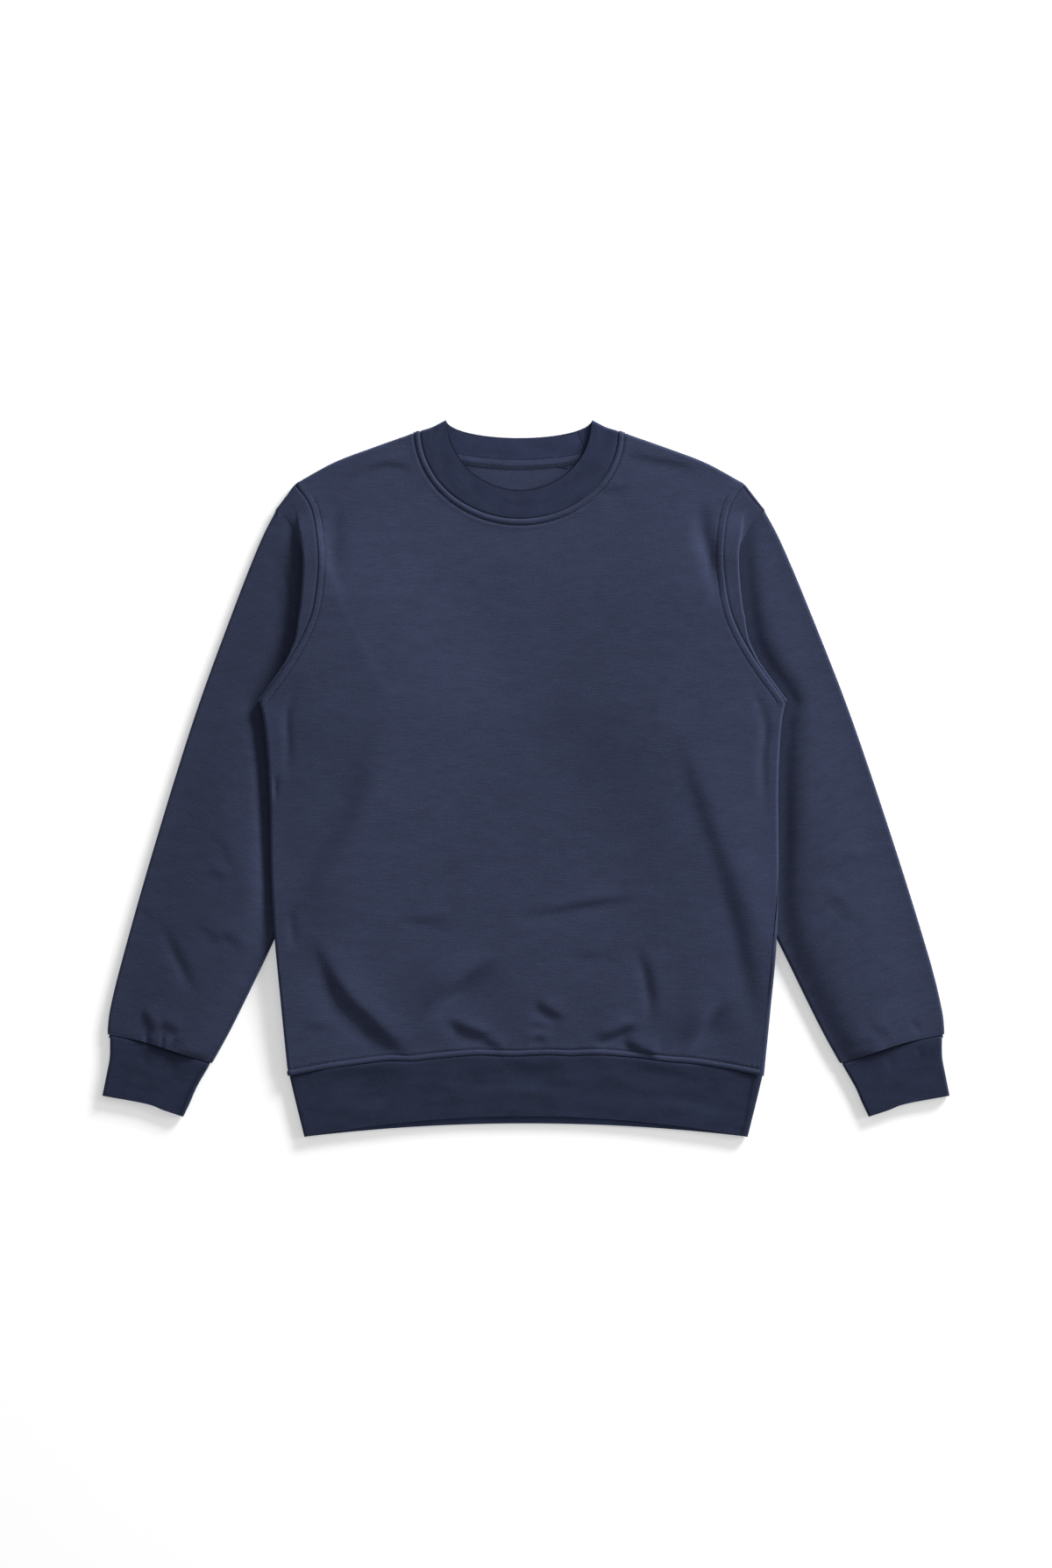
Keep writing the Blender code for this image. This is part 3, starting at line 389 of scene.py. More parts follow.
def smooth_curve(points, steps=24):
    """A smooth line through the points (Catmull-Rom)."""
    p = np.array(points, float)
    p = np.vstack([2 * p[0] - p[1], p, 2 * p[-1] - p[-2]])
    t = np.linspace(0, 1, steps, endpoint=False)[:, None]
    runs = [
        0.5 * (2 * b + (c - a) * t + (2 * a - 5 * b + 4 * c - d) * t**2 + (3 * b - a - 3 * c + d) * t**3)
        for a, b, c, d in zip(p, p[1:], p[2:], p[3:])
    ]
    return line(np.vstack(runs + [p[-2:-1]]))


def neck_curve(end, drop, steps=64):
    """The lower half of an ellipse between two points at one height, from right to left of the wearer."""
    turn = np.linspace(-math.pi / 2, math.pi / 2, steps)
    return line(np.stack([end[0] * np.sin(turn), end[1] - drop * np.cos(turn)], axis=-1))


def hem_curve(half, centre_y, corner_y, wave=None, steps=240):
    """A shallow arch from right to left of the wearer, moved down by the wave."""
    x = np.linspace(-half, half, steps)
    sag = wave(x) if wave else 0.0
    return line(np.stack([x, mix(centre_y, corner_y, (x / half) ** 2) + sag], axis=-1))


def mirrored(curve):
    return line(curve.points * [-1, 1])


def patch(bottom, top, left, right):
    """The smooth patch between four edges. Across goes 0 to 1 from left to right, and up 0 to 1."""

    def at(across, up):
        q = np.asarray(across, float)[..., None]
        v = np.asarray(up, float)[..., None]
        lower = mix(bottom(0.0), bottom(1.0), q)
        upper = mix(top(0.0), top(1.0), q)
        return mix(bottom(across), top(across), v) + mix(left(up), right(up), q) - mix(lower, upper, v)

    return at


def edge_reach(plan, up, end):
    """How far in from the edge, measured square to it, a whole share across would reach at this row."""
    small = 0.002
    inside = abs(end - small)
    ahead = plan(inside, up) - plan(end, up)
    along = unit(plan(end, min(up + small, 1.0)) - plan(end, max(up - small, 0.0)))
    return abs(cross(ahead, along)) / small


# How high each layer lies


def tucked_depth(out, y):
    """How far inside the hidden stretch of sleeve a point lies. It is negative outside it."""
    corner, head, foot = (np.array(point, float) for point in (TUCK_CORNER, TUCK_HEAD, TUCK_FOOT))
    place = np.stack([out, y], axis=-1) - corner
    from_fold = cross(place, unit(head - corner))
    from_edge = -cross(place, unit(foot - corner))
    return -TUCK_ROUND * np.logaddexp(-from_fold / TUCK_ROUND, -from_edge / TUCK_ROUND)


def raised(x, y, rise):
    """How much the tucked sleeves raise one layer of the body."""
    height = mix(LOFT + FLEECE + SEAM_GAP, 4 * PRESSED_LOFT, between(y, rise["pleat"]))
    slope = smoothstep((tucked_depth(np.abs(x), y) + rise["slope"] + TUCK_MARGIN) / rise["slope"])
    return height * slope * between(y, rise["shoulder"])


def back_height(x, y):
    return FLEECE / 2 + raised(x, y, BACK_RISE)


def front_height(x, y):
    """The front bridges the slopes that the back follows."""
    close, bridged = raised(x, y, BACK_RISE), raised(x, y, FRONT_RISE)
    over = (close + bridged + np.sqrt((close - bridged) ** 2 + BRIDGE_ROUND**2) - BRIDGE_ROUND) / 2
    return FLEECE / 2 + over + LOFT


def pleat_width(share):
    return np.interp(share, *np.transpose(PLEAT))


def square_to(curve, share):
    """The level direction square to a curve, to the left of its way."""
    share = np.asarray(share, float)
    along = curve(share + 0.02) - curve(share - 0.02)
    return unit(np.stack([-along[..., 1], along[..., 0]], axis=-1))


def armhole_outwards(share):
    """The direction out of the armhole. At the shoulder it follows the sleeve's outer edge."""
    outer_edge = unit(np.array(OUTER_EDGE[0], float) - SHOULDER)
    settled = smoothstep(np.asarray(share) / SHOULDER_BLEND)[..., None]
    return unit(mix(outer_edge, square_to(ARMHOLE_LINE, share), settled))


def sleeve_gap(share):
    """From the armhole line to the sleeve's edge."""
    return SEAM_GAP / 2 + SHOULDER_EASE * (1 - smoothstep(np.asarray(share) / SHOULDER_EASE_END))


def sleeve_loft(out, y):
    """Between the sleeve's two layers: pressed together under the pleat, and full a little way beyond it."""
    share = np.linspace(0, 1, 24)
    pleat = ARMHOLE_LINE(share) + armhole_outwards(share) * pleat_width(share)[:, None]
    edge = np.vstack([SIDE_LINE.points[:-1:8], pleat[::-1]])
    beside = out - np.interp(y, edge[:, 1], edge[:, 0])
    pressed = (1 - between(beside, FILLING_OUT)) * between(y, PRESSED_FOOT) * between(y, PRESSED_HEAD)
    return mix(LOFT, PRESSED_LOFT, pressed)


def sleeve_height(points):
    return FLEECE / 2 + sleeve_loft(*points.T)


def lapped(share):
    """0 where the back of the sleeve meets the back panel edge to edge, 1 where it runs in under it."""
    return smoothstep((raised(*ARMHOLE_LINE(share).T, BACK_RISE) - LAPPED_FROM) / LAPPED_RISE)


def on_front(grid, back, loft, share):
    """1 on the front layer, and 0 from this share of the way down to the back layer, which lies at back."""
    return smoothstep((grid[..., 2] - back - (1 - share) * loft) / (share * loft))


def on_back(grid, back, loft, share):
    """1 on the back layer, and 0 from this share of the way up to the front layer."""
    return smoothstep((back + share * loft - grid[..., 2]) / (share * loft))


# Columns: each row of a grid takes points at these shares across, and lowers some round the folded edges


def edge_path(way, loft):
    """Inset and share of the drop from front to back, this far along the cloth round a folded edge.
    The way is 0 at the outermost line and positive on the front. Loft is the height of the round."""
    radius = loft / 2
    angle = np.clip(way / radius, -math.pi / 2, math.pi / 2)
    beyond = np.maximum(np.abs(way) - radius * math.pi / 2, 0.0)
    return radius * (1 - np.cos(angle)) + beyond, (1 - np.sin(angle)) / 2


def seam_columns(layer, count, roll=0.0, loft=LOFT, gap=SEAM_GAP / 2):
    """Insets and drops of the columns that run in from a seam, after one spare column beyond it.
    The seam has rolled this far on to the front. With a loft of 0 the edge isn't folded."""
    steps = np.arange(-1, count) * EDGE_STEP + gap
    if not loft:
        return steps, np.full(count + 1, float(layer))
    steps = steps * loft / LOFT
    inset, drop = edge_path(roll + steps if layer == FRONT else roll - steps, loft)
    return inset + FLEECE / 2, drop


def lay(front, back, columns, rows):
    """A grid of points, each between the front and the back layer by its column's drop."""
    grid = []
    for row in range(rows):
        front_share, back_share, drop = columns(row)
        grid.append(mix(front(front_share, row), back(back_share, row), drop[:, None]))
    return np.array(grid)


# How walls face


def faces_round(grid, closed):
    """The mean direction square to the faces round each point, and the cosine of how far they turn there."""
    if closed:
        grid = np.concatenate([grid[:, -1:], grid, grid[:, :1]], axis=1)
    square = np.cross(grid[1:, 1:] - grid[:-1, :-1], grid[1:, :-1] - grid[:-1, 1:])
    square = square / np.maximum(np.linalg.norm(square, axis=2), 1e-9)[..., None]
    square = np.pad(square, ((1, 1), (0, 0) if closed else (1, 1), (0, 0)), mode="edge")
    mean = (square[1:, 1:] + square[:-1, 1:] + square[1:, :-1] + square[:-1, :-1]) / 4
    turned = np.maximum(np.linalg.norm(mean, axis=2), 1e-6)
    return mean / turned[..., None], turned


# The body. Each side's edge runs up the side seam, round the armhole and along the shoulder to the neck.

SIDE_LINE = smooth_curve(SIDE)
ARMHOLE_LINE = smooth_curve(ARMHOLE)
SHOULDER_LINE = smooth_curve(SHOULDER_SLOPE)
BODY_EDGE = line(np.vstack([SIDE_LINE.points, ARMHOLE_LINE.points[-2::-1], SHOULDER_LINE.points[1:]]))
UNDERARM_SHARE = SIDE_LINE.length / BODY_EDGE.length
SHOULDER_SHARE = (SIDE_LINE.length + ARMHOLE_LINE.length) / BODY_EDGE.length
ARMHOLE_ROWS = np.linspace(UNDERARM_SHARE + ARMHOLE_CORNER / BODY_EDGE.length,
                           SHOULDER_SHARE - ARMHOLE_CORNER / BODY_EDGE.length, 74)
ROLL_FADE = 0.62, 0.27  # the side seams' roll fades between these shares of the way up to the underarm
ROLL_EASE = 0.3  # the seam opens a little where its roll fades
BACK_ARMHOLE_GAP = 0.9  # more than the front panel's, where the back of the sleeve meets it edge to edge
EDGE_COLUMNS = 12  # at each side


def armhole_share(up):
    """The share of the armhole, from the shoulder down, at this share up the body's edge."""
    return (SHOULDER_SHARE - up) / (SHOULDER_SHARE - UNDERARM_SHARE)


# Sleeves. Each grid starts at the armhole: the rows of the pleat, then the stretch on the surface.

TUCK_CURVE = smooth_curve(TUCK_FOLD)


def tuck_line(share):
    """The hidden fold. Its shares are eased, to lie across from the same shares of the armhole."""
    share = np.asarray(share, float)
    return TUCK_CURVE(share - TUCK_EASE * share * (1 - share) ** 2)


SLEEVE_PATCH = patch(tuck_line, smooth_curve(CUFF_SEAM), smooth_curve(OUTER_EDGE), smooth_curve(INNER_EDGE))


def rounded_fold(folded, place, bulge, ramp, layers, ramp_heights, steps=12):
    """The points of a fold. A true fold bulges and comes back to its place on another layer, and a ramp
    runs on past its place. folded is the share of the true fold in the mixture."""
    path = []
    for turn in np.linspace(0, 1, steps):
        moved = mix(ramp * (2 * turn - 1), bulge * math.sin(math.pi * turn), folded[:, None])
        fold_height = mix(*layers, (1 - math.cos(math.pi * turn)) / 2)
        path.append(with_height(place + moved, mix(mix(*ramp_heights, turn), fold_height, folded)))
    return path


def paced(path, stops):
    """The path's points, one for each row of the pleat. stops gives the place in the path of some rows.
    The other rows lie evenly between them, and no two rows are closer than the least step."""
    path = np.array(path)
    steps = np.linalg.norm(np.diff(path, axis=0), axis=2)
    travelled = np.concatenate([np.zeros((1, path.shape[1])), np.cumsum(steps, axis=0)])
    rows = np.arange(PLEAT_ROWS)
    points = []
    for column in range(path.shape[1]):
        way = travelled[:, column]
        spare = np.maximum(np.diff(np.interp(rows, list(stops), way[list(stops.values())])) - LEAST_STEP, 0)
        pace = LEAST_STEP + spare * (way[-1] - LEAST_STEP * rows[-1]) / spare.sum()
        target = np.concatenate([[0], np.cumsum(pace)])
        points.append(np.stack([np.interp(target, way, path[:, column, k]) for k in range(3)], axis=-1))
    return np.array(points)


def pleat_front(share, side):
    """The front of the sleeve from the armhole seam: out to the pleat's edge, back under it, and round
    the hidden fold. Near the shoulder there is no room to come back, and it only steps down."""
    seam, out = ARMHOLE_LINE(share), armhole_outwards(share)
    tuck, onward = tuck_line(share), square_to(tuck_line, share)
    top, bottom = front_face(side * seam[:, 0], seam[:, 1]), sleeve_height(tuck)
    edge = seam + out * pleat_width(share)[:, None]
    overhang = ((edge - tuck) * out).sum(axis=1)
    folded = (np.clip(overhang / FOLDED_OVERHANG, -1, 1) + 1) / 2
    under = FLEECE / 2 + 2 * PRESSED_LOFT
    step = PLEAT_RAMP * (top - bottom)
    outer, inner = out * PLEAT_ROUND, onward * PRESSED_LOFT / 2
    start = [with_height(seam + out * sleeve_gap(share)[:, None], top)]
    upper_fold = rounded_fold(folded, edge - outer, outer, outer, (top, under), (top, top - step))
    lower_fold = rounded_fold(folded, tuck, -inner, inner, (under, bottom), (bottom + step, bottom))
    return paced(start + upper_fold + lower_fold, FRONT_STOPS)


def pleat_back(share):
    """The back of the sleeve from the armhole seam: in under the back panel and round the hidden fold."""
    seam, out = ARMHOLE_LINE(share), armhole_outwards(share)
    tuck, onward = tuck_line(share), square_to(tuck_line, share)
    lap = lapped(share)
    start = seam + out * (sleeve_gap(share) - LAP * lap)[:, None]
    top, bottom = back_height(*seam.T) - PRESSED_LOFT * lap, np.full(len(share), FLEECE / 2)
    overhang = ((start - tuck) * out).sum(axis=1)
    turning = mix(tuck, start, smoothstep(0.5 - overhang / TURNED_OVERHANG)[:, None])
    path = [with_height(start, top)]
    for turn in np.linspace(0.02, 1, 24):
        bulge = onward * HIDDEN_BULGE * PRESSED_LOFT * math.sin(math.pi * turn) * lap[:, None]
        height = mix(top, bottom, (1 - math.cos(math.pi * turn)) / 2)
        path.append(with_height(mix(turning, tuck, turn) - bulge, height))
    return paced(path, BACK_STOPS)


def one_side(grid, side):
    """The grid on the wearer's left, or mirrored on the right with its columns still in the same turn."""
    return grid[:, ::side] * [side, 1, 1]


# Lines on the cloth, and how it moves beside them


def to_line(points, x, y):
    """How far along a line each place is, and how far to the left of it, with the line's length."""
    steps = np.diff(points, axis=0)
    lengths = np.linalg.norm(steps, axis=1)
    begun = np.concatenate([[0.0], np.cumsum(lengths)])
    nearest = np.full(x.shape, np.inf)
    along, left = np.zeros(x.shape), np.zeros(x.shape)
    for start, step, length, before in zip(points, steps, lengths, begun):
        way_x, way_y = step / max(length, 1e-9)
        from_x, from_y = x - start[0], y - start[1]
        way = np.clip(from_x * way_x + from_y * way_y, 0.0, length)
        off = np.hypot(from_x - way * way_x, from_y - way * way_y)
        closer = off < nearest
        nearest = np.where(closer, off, nearest)
        along = np.where(closer, before + way, along)
        left = np.where(closer, np.copysign(off, way_x * from_y - way_y * from_x), left)
    return along, left, begun[-1]


def creased(creases, x, y):
    """How much the creases move the cloth."""
    rise = np.zeros_like(x)
    for half, step, ridge, points, *fades in creases:
        points = np.array(points, float)
        low, high = points.min(axis=0) - 4 * half, points.max(axis=0) + 4 * half
        near = (x > low[0]) & (x < high[0]) & (y > low[1]) & (y < high[1])
        if not near.any():
            continue
        along, left, length = to_line(smooth_curve(points, 8).points, x[near], y[near])
        begin, end = (max(share * length, 0.01) for share in fades or CREASE_FADE)
        fade = smoothstep(along / begin) * smoothstep((length - along) / end)
        across = left / half
        stepped = step * 0.5 * np.tanh(1.5 * across) * np.exp(-(across / 3.2) ** 2)
        rise[near] += fade * (ridge * np.exp(-across**2) + stepped)
    return rise


def distance(points, x, y, reach):
    """How far each place is from a line. Well beyond this reach it is only somewhere past it."""
    low, high = points.min(axis=0) - reach, points.max(axis=0) + reach
    near = (x > low[0]) & (x < high[0]) & (y > low[1]) & (y < high[1])
    away = np.full(x.shape, 2.0 * reach)
    if near.any():
        away[near] = np.abs(to_line(points, x[near], y[near])[1])
    return away


def roll(away, width, height):
    """The round of cloth that stands up beside a seam."""
    return height * np.clip(1 - ((away - width / 2) / (width / 2)) ** 2, 0, 1) ** 0.7


def groove(away, at, half, depth):
    return -depth * np.exp(-(((away - at) / half) ** 2))


def seam_wave(x):
    """The hem seam sags a little between the places where the band draws it up."""
    return np.interp(x, *smooth_curve(HEM_WAVE).points.T)


def undulation(x, y):
    """The slight unevenness of cloth that lies loose."""
    rise = np.zeros_like(x)
    for length_x, length_y, turn, height in UNDULATIONS:
        rise += height * np.sin(2 * math.pi * (x / length_x + y / length_y) + turn)
    return rise


def front_seams(x, y):
    """How the seams shape the front panel's face."""
    reach = 16.0
    away = {
        "neck": distance(NECK_LINE.points, x, y, reach),
        "arm": distance(ARMHOLE_LINE.points, np.abs(x), y, reach),
        "hem": y - hem_line_y(x),
    }
    rise = -groove(away["neck"], *NECK_SWELL)
    for name, seam in SEAMS.items():
        furrow = groove(away[name], seam["stitch"], *seam["furrow"])
        rise += roll(away[name], *seam["roll"]) + groove(away[name], 0.0, *seam["seam"]) + furrow
    pucker = 0.5 + 0.5 * np.sin(x * 2 * math.pi / HEM_PUCKER_PITCH + 1.4 * np.sin(x / 17.0))
    return rise - pucker * groove(away["hem"], *HEM_PUCKER)


def hem_line_y(x):
    return mix(FRONT_HEM_Y, HEM_CORNER_Y, (x / HEM_HALF) ** 2) + seam_wave(x)


def leaned(points):
    """The garment leans a little to one side."""
    lean = LEAN * np.clip((points[..., 1] - LEAN_FOOT_Y) / (LEAN_HEAD_Y - LEAN_FOOT_Y), 0, 1.1)
    return points + lean[..., None] * np.array([1.0, 0.0, 0.0])


# Walls, and small pieces of thread and cloth


def run_lengths(grid, axis):
    """The length travelled along one axis of a grid."""
    steps = np.linalg.norm(np.diff(grid, axis=axis), axis=2)
    zero = np.zeros_like(np.take(steps, [0], axis=axis))
    return np.cumsum(np.concatenate([zero, steps], axis=axis), axis=axis)


def shell(name, grid, thickness, cloth_map, material, relief=0.0, closed=False, inside=None):
    """A closed wall of cloth round a grid of points. An open grid has a spare column at each side, which
    only sets how the edge faces. relief moves the outer face only. cloth_map is the place in the cloth.
    inside is the material of the inner face."""
    grid = leaned(grid)
    normal, turned = faces_round(grid, closed)
    aside = normal * (thickness / 2 / np.maximum(turned, 0.6))[..., None]
    over, under = grid + aside + normal * np.broadcast_to(relief, grid.shape[:2])[..., None], grid - aside
    if not closed:
        over, under, cloth_map = over[:, 1:-1], under[:, 1:-1], cloth_map[:, 1:-1]
    rows, columns = over.shape[:2]
    points = np.concatenate([over.reshape(-1, 3), under.reshape(-1, 3)])
    points[:, 2] = np.maximum(points[:, 2], 0.0)
    size = rows * columns
    index = np.arange(size).reshape(rows, columns)
    place = np.arange(rows * cloth_map.shape[1]).reshape(rows, -1)
    if closed:
        index = np.concatenate([index, index[:, :1]], axis=1)

    def corners(of):
        return np.stack([c.ravel() for c in (of[:-1, :-1], of[:-1, 1:], of[1:, 1:], of[1:, :-1])], axis=1)

    faces, places = corners(index), corners(place)
    faces = [faces, faces[:, ::-1] + size]
    places = [places, places[:, ::-1]]
    rims = [(index[0], place[0]), (index[-1][::-1], place[-1][::-1])]
    if not closed:
        rims += [(index[::-1, 0], place[::-1, 0]), (index[:, -1], place[:, -1])]
    for rim, at in rims:
        faces.append(np.stack([rim[:-1] + size, rim[1:] + size, rim[1:], rim[:-1]], axis=1))
        places.append(np.stack([at[:-1], at[1:], at[1:], at[:-1]], axis=1))
    faces, places = np.concatenate(faces), np.concatenate(places)
    made = mesh_object(name, points, faces.tolist(), material)
    layer = made.data.uv_layers.new(name="cloth")
    layer.data.foreach_set("uv", cloth_map.reshape(-1, 2)[places.ravel()].astype(np.float32).ravel())
    if inside:
        made.data.materials.append(inside)
        walls = (rows - 1) * (index.shape[1] - 1)
        side = np.zeros(len(faces), np.int32)
        side[walls:2 * walls] = 1
        made.data.polygons.foreach_set("material_index", side)
    made.data.set_sharp_from_angle(angle=math.radians(60))
    return made


def add(name, data, place=(0.0, 0.0, 0.0)):
    made = bpy.data.objects.new(name, data)
    made.location = place
    bpy.context.scene.collection.objects.link(made)
    return made


def mesh_object(name, points, faces, material):
    mesh = bpy.data.meshes.new(name)
    mesh.from_pydata((np.asarray(points) * METRES).tolist(), [], faces)
    mesh.shade_smooth()
    mesh.materials.append(material)
    return add(name, mesh)


def stitches(name, rows, pitch=2.5, length=1.5, half=0.45):
    """Topstitching: short threads along each row of (plan, height function). Each is a rod of four sides that
    dips to a point at both ends."""
    points, faces = [], []
    turns = np.arange(4) * math.pi / 2
    for curve, surface in rows:
        count = int(curve.length / pitch)
        centre = (np.arange(count) + 0.5) / count
        middle = curve(centre)
        way = unit(curve(centre + 0.2 / curve.length) - middle)
        aside = np.stack([-way[:, 1], way[:, 0]], axis=-1)
        first, last = middle - way * length / 2, middle + way * length / 2
        start, end = surface(*first.T), surface(*last.T)
        for k in range(count):
            base = len(points)
            points.append([*first[k], start[k] - half])
            for share in ROD_ENDS:
                spot, height = mix(first[k], last[k], share), mix(start[k], end[k], share)
                for turn in turns:
                    out = aside[k] * half * math.cos(turn)
                    points.append([*(spot + out), height + half * (0.4 + 0.6 * math.sin(turn))])
            points.append([*last[k], end[k] - half])
            for j in range(4):
                n = (j + 1) % 4
                faces.append((base, base + 1 + n, base + 1 + j))
                faces.append((base + 1 + j, base + 1 + n, base + 5 + n, base + 5 + j))
                faces.append((base + 5 + j, base + 5 + n, base + 9))
    return mesh_object(name, leaned(np.array(points)), faces, THREAD)


def strip(name, curve, share, ways, height, thickness, material, left_share=1.0):
    """A strip of cloth along a curve, through lines this way beside it. left_share narrows it on the left."""
    middle, square = curve(share), square_to(curve, np.clip(share, *INNER_SHARE))
    lines = [middle + square * way * (left_share if way > 0 else 1.0) for way in ways]
    grid = np.array([with_height(beside, height) for beside in lines])
    spare = grid[:, [0, -1]] * 2 - grid[:, [1, -2]]
    grid = np.concatenate([spare[:, :1], grid, spare[:, 1:]], axis=1)
    return shell(name, grid, np.full(grid.shape[:2], thickness), grid[..., :2], material)


# The cloth's own pattern


def fill(node, values):
    """Sets the node's sockets to these values, or links them to these other sockets."""
    for socket, value in values.items():
        if isinstance(value, bpy.types.NodeSocket):
            node.id_data.links.new(value, node.inputs[socket])
        else:
            node.inputs[socket].default_value = value


class Look:
    """A material, and the nodes that vary its base colour and raise its fine relief."""

    def __init__(self, name, base, roughness, sheen):
        self.base = base
        self.material = bpy.data.materials.new(name)
        self.material.use_nodes = True
        self.nodes = self.material.node_tree.nodes
        self.shader = self.nodes["Principled BSDF"]
        fill(self.shader, {
            "Base Color": (*base, 1.0), "Roughness": roughness, "Specular IOR Level": SPECULAR,
            "Sheen Weight": sheen, "Sheen Roughness": SHEEN_ROUGHNESS, "Sheen Tint": SHEEN_TINT,
        })

    def node(self, kind, operation, values):
        """What comes out of a node with these values or links."""
        node = self.nodes.new(kind)
        if operation:
            node.operation = operation
        fill(node, values)
        return node.outputs

    def calc(self, operation, a, b=0.0):
        return self.node("ShaderNodeMath", operation, {0: a, 1: b})[0]

    def sum_of(self, share, parts):
        for part, weight in parts:
            share = self.calc("ADD", self.calc("MULTIPLY", part, weight), share)
        return share

    def noise(self, at, scale, detail=2.0, rough=0.5):
        place = self.node("ShaderNodeVectorMath", "MULTIPLY", {0: at, 1: scale})[0]
        values = {"Scale": 1.0, "Detail": detail, "Roughness": rough, "Vector": place}
        return self.node("ShaderNodeTexNoise", None, values)["Fac"]

    def object_noise(self, scale):
        return self.noise(self.nodes.new("ShaderNodeTexCoord").outputs["Object"], (scale,) * 3)

    def shade(self, share):
        """Makes the colour the base colour times this share."""
        shaded = self.node("ShaderNodeVectorMath", "SCALE", {0: self.base, "Scale": share})[0]
        fill(self.shader, {"Base Color": shaded})
        return self.material


def knit(name, base, roughness, sheen, pattern):
    """Cloth with a fine grain, uneven yarns and soft mottling. Rib also has narrow wales."""
    look = Look(name, base, roughness, sheen)
    place = look.nodes.new("ShaderNodeUVMap")
    place.uv_map = "cloth"
    at = place.outputs["UV"]
    parts = {part: (look.noise(at, (1 / across, 1 / along, 1.0), detail, rough), weight)
             for part, (across, along, detail, rough, weight) in pattern.items()}
    share, grain = 1.0 - sum(weight for _, weight in parts.values()) / 2, parts["grain"][0]
    if pattern is RIB_PATTERN:
        across = look.node("ShaderNodeSeparateXYZ", None, {0: at})["X"]
        wave = look.calc("SINE", look.calc("MULTIPLY", across, 2 * math.pi / RIB_PITCH))
        share = look.sum_of(share, [(wave, WALE_SHADE)])
        height = look.calc("ADD", look.calc("MULTIPLY", wave, WALE_RELIEF), grain)
    else:
        height = look.calc("ADD", grain, look.calc("MULTIPLY", parts["slub"][0], SLUB_RELIEF))
    relief = look.node("ShaderNodeBump", None, {"Strength": 1.0, "Distance": KNIT_RELIEF, "Height": height})
    fill(look.shader, {"Normal": relief["Normal"]})
    return look.shade(look.sum_of(share, parts.values()))


def fleece(name, base):
    return knit(name, base, *FLEECE_FINISH, FLEECE_PATTERN)


def rib(name, base, share=1.0):
    return knit(name, tuple(share * value for value in base), *RIB_FINISH, RIB_PATTERN)


def thread(name, base):
    """Thread, with a slight unevenness from stitch to stitch."""
    look = Look(name, base, *THREAD_FINISH)
    return look.shade(look.sum_of(0.5, [(look.object_noise(600.0), 1.0)]))


# The pieces


NECK_LINE = neck_curve(NECK_POINT, FRONT_NECK_DROP)
FLEECE_CLOTH = fleece("fleece", NAVY)
# A darker copy of the fleece for the sleeves, as painted shade.
SLEEVE_CLOTH_PAINTED_SHADE = fleece("sleeve_fleece_painted_shade", NAVY_SLEEVE_PAINTED_SHADE)
RIB_CLOTH = rib("rib", NAVY_RIB)
# The rib's inner face, lightened as painted light against the band's shadow.
RIB_INSIDE_PAINTED_LIGHT = rib("rib_inside_painted_light", NAVY_RIB, RIB_INSIDE_PAINTED_LIGHT_SHARE)
COLLAR_CLOTH = rib("collar_rib", NAVY_COLLAR)
# The lip's rib, darkened as painted shade.
LIP_PAINTED_SHADE_CLOTH = rib("lip_painted_shade_rib", NAVY_COLLAR, LIP_PAINTED_SHADE_SHARE)
COLLAR_INSIDE = rib("collar_inside", NAVY_COLLAR, COLLAR_INSIDE_SHARE)
TAPE_CLOTH = fleece("tape", NAVY_TAPE)
THREAD = thread("thread", NAVY_THREAD)


def crown(away, width):
    """Cloth over air swells beside an edge that holds it down: 0 there, and 1 well away from it."""
    return 1 - np.exp(-((away / width) ** 2))


def front_fullness(x, y):
    """What the front panel adds to its plain height: its swell, its creases and its unevenness."""
    reach = 110.0
    away = {
        "side": distance(SIDE_LINE.points[::8], np.abs(x), y, reach),
        "shoulder": distance(SHOULDER_LINE.points[::8], np.abs(x), y, reach),
        "neck": distance(NECK_LINE.points, x, y, reach),
        "hem": np.maximum(y - hem_line_y(x), 0.0),
    }
    swell = BODY_CROWN["height"]
    for edge, off in away.items():
        swell = swell * crown(off, BODY_CROWN[edge])
    return swell + creased(BODY_CREASES, x, y) + undulation(x, y)


def front_face(x, y):
    """How high the middle of the front panel lies."""
    return front_height(x, y) + front_fullness(x, y)


def front_top(x, y):
    """The height of the front panel's outer face."""
    return front_face(x, y) + front_seams(x, y) + FLEECE / 2


def body_rows(step):
    """Shares up the body's edge, with close rows at the hem and neck seams."""
    from_hem = (np.arange(SEAM_STEPS) * EDGE_STEP + SEAM_GAP / 2) / BODY_EDGE.length
    to_neck = 1 - (np.arange(SEAM_STEPS)[::-1] * 0.95 * EDGE_STEP + SEAM_GAP / 2) / BODY_EDGE.length
    side = np.linspace(from_hem[-1], UNDERARM_SHARE, int(UNDERARM_SHARE * BODY_EDGE.length / step))
    count = int((to_neck[0] - SHOULDER_SHARE) * BODY_EDGE.length / step) + 2
    shoulder = np.linspace(SHOULDER_SHARE, to_neck[0], count)
    return np.concatenate([from_hem[:-1], side, ARMHOLE_ROWS, shoulder[:-1], to_neck])


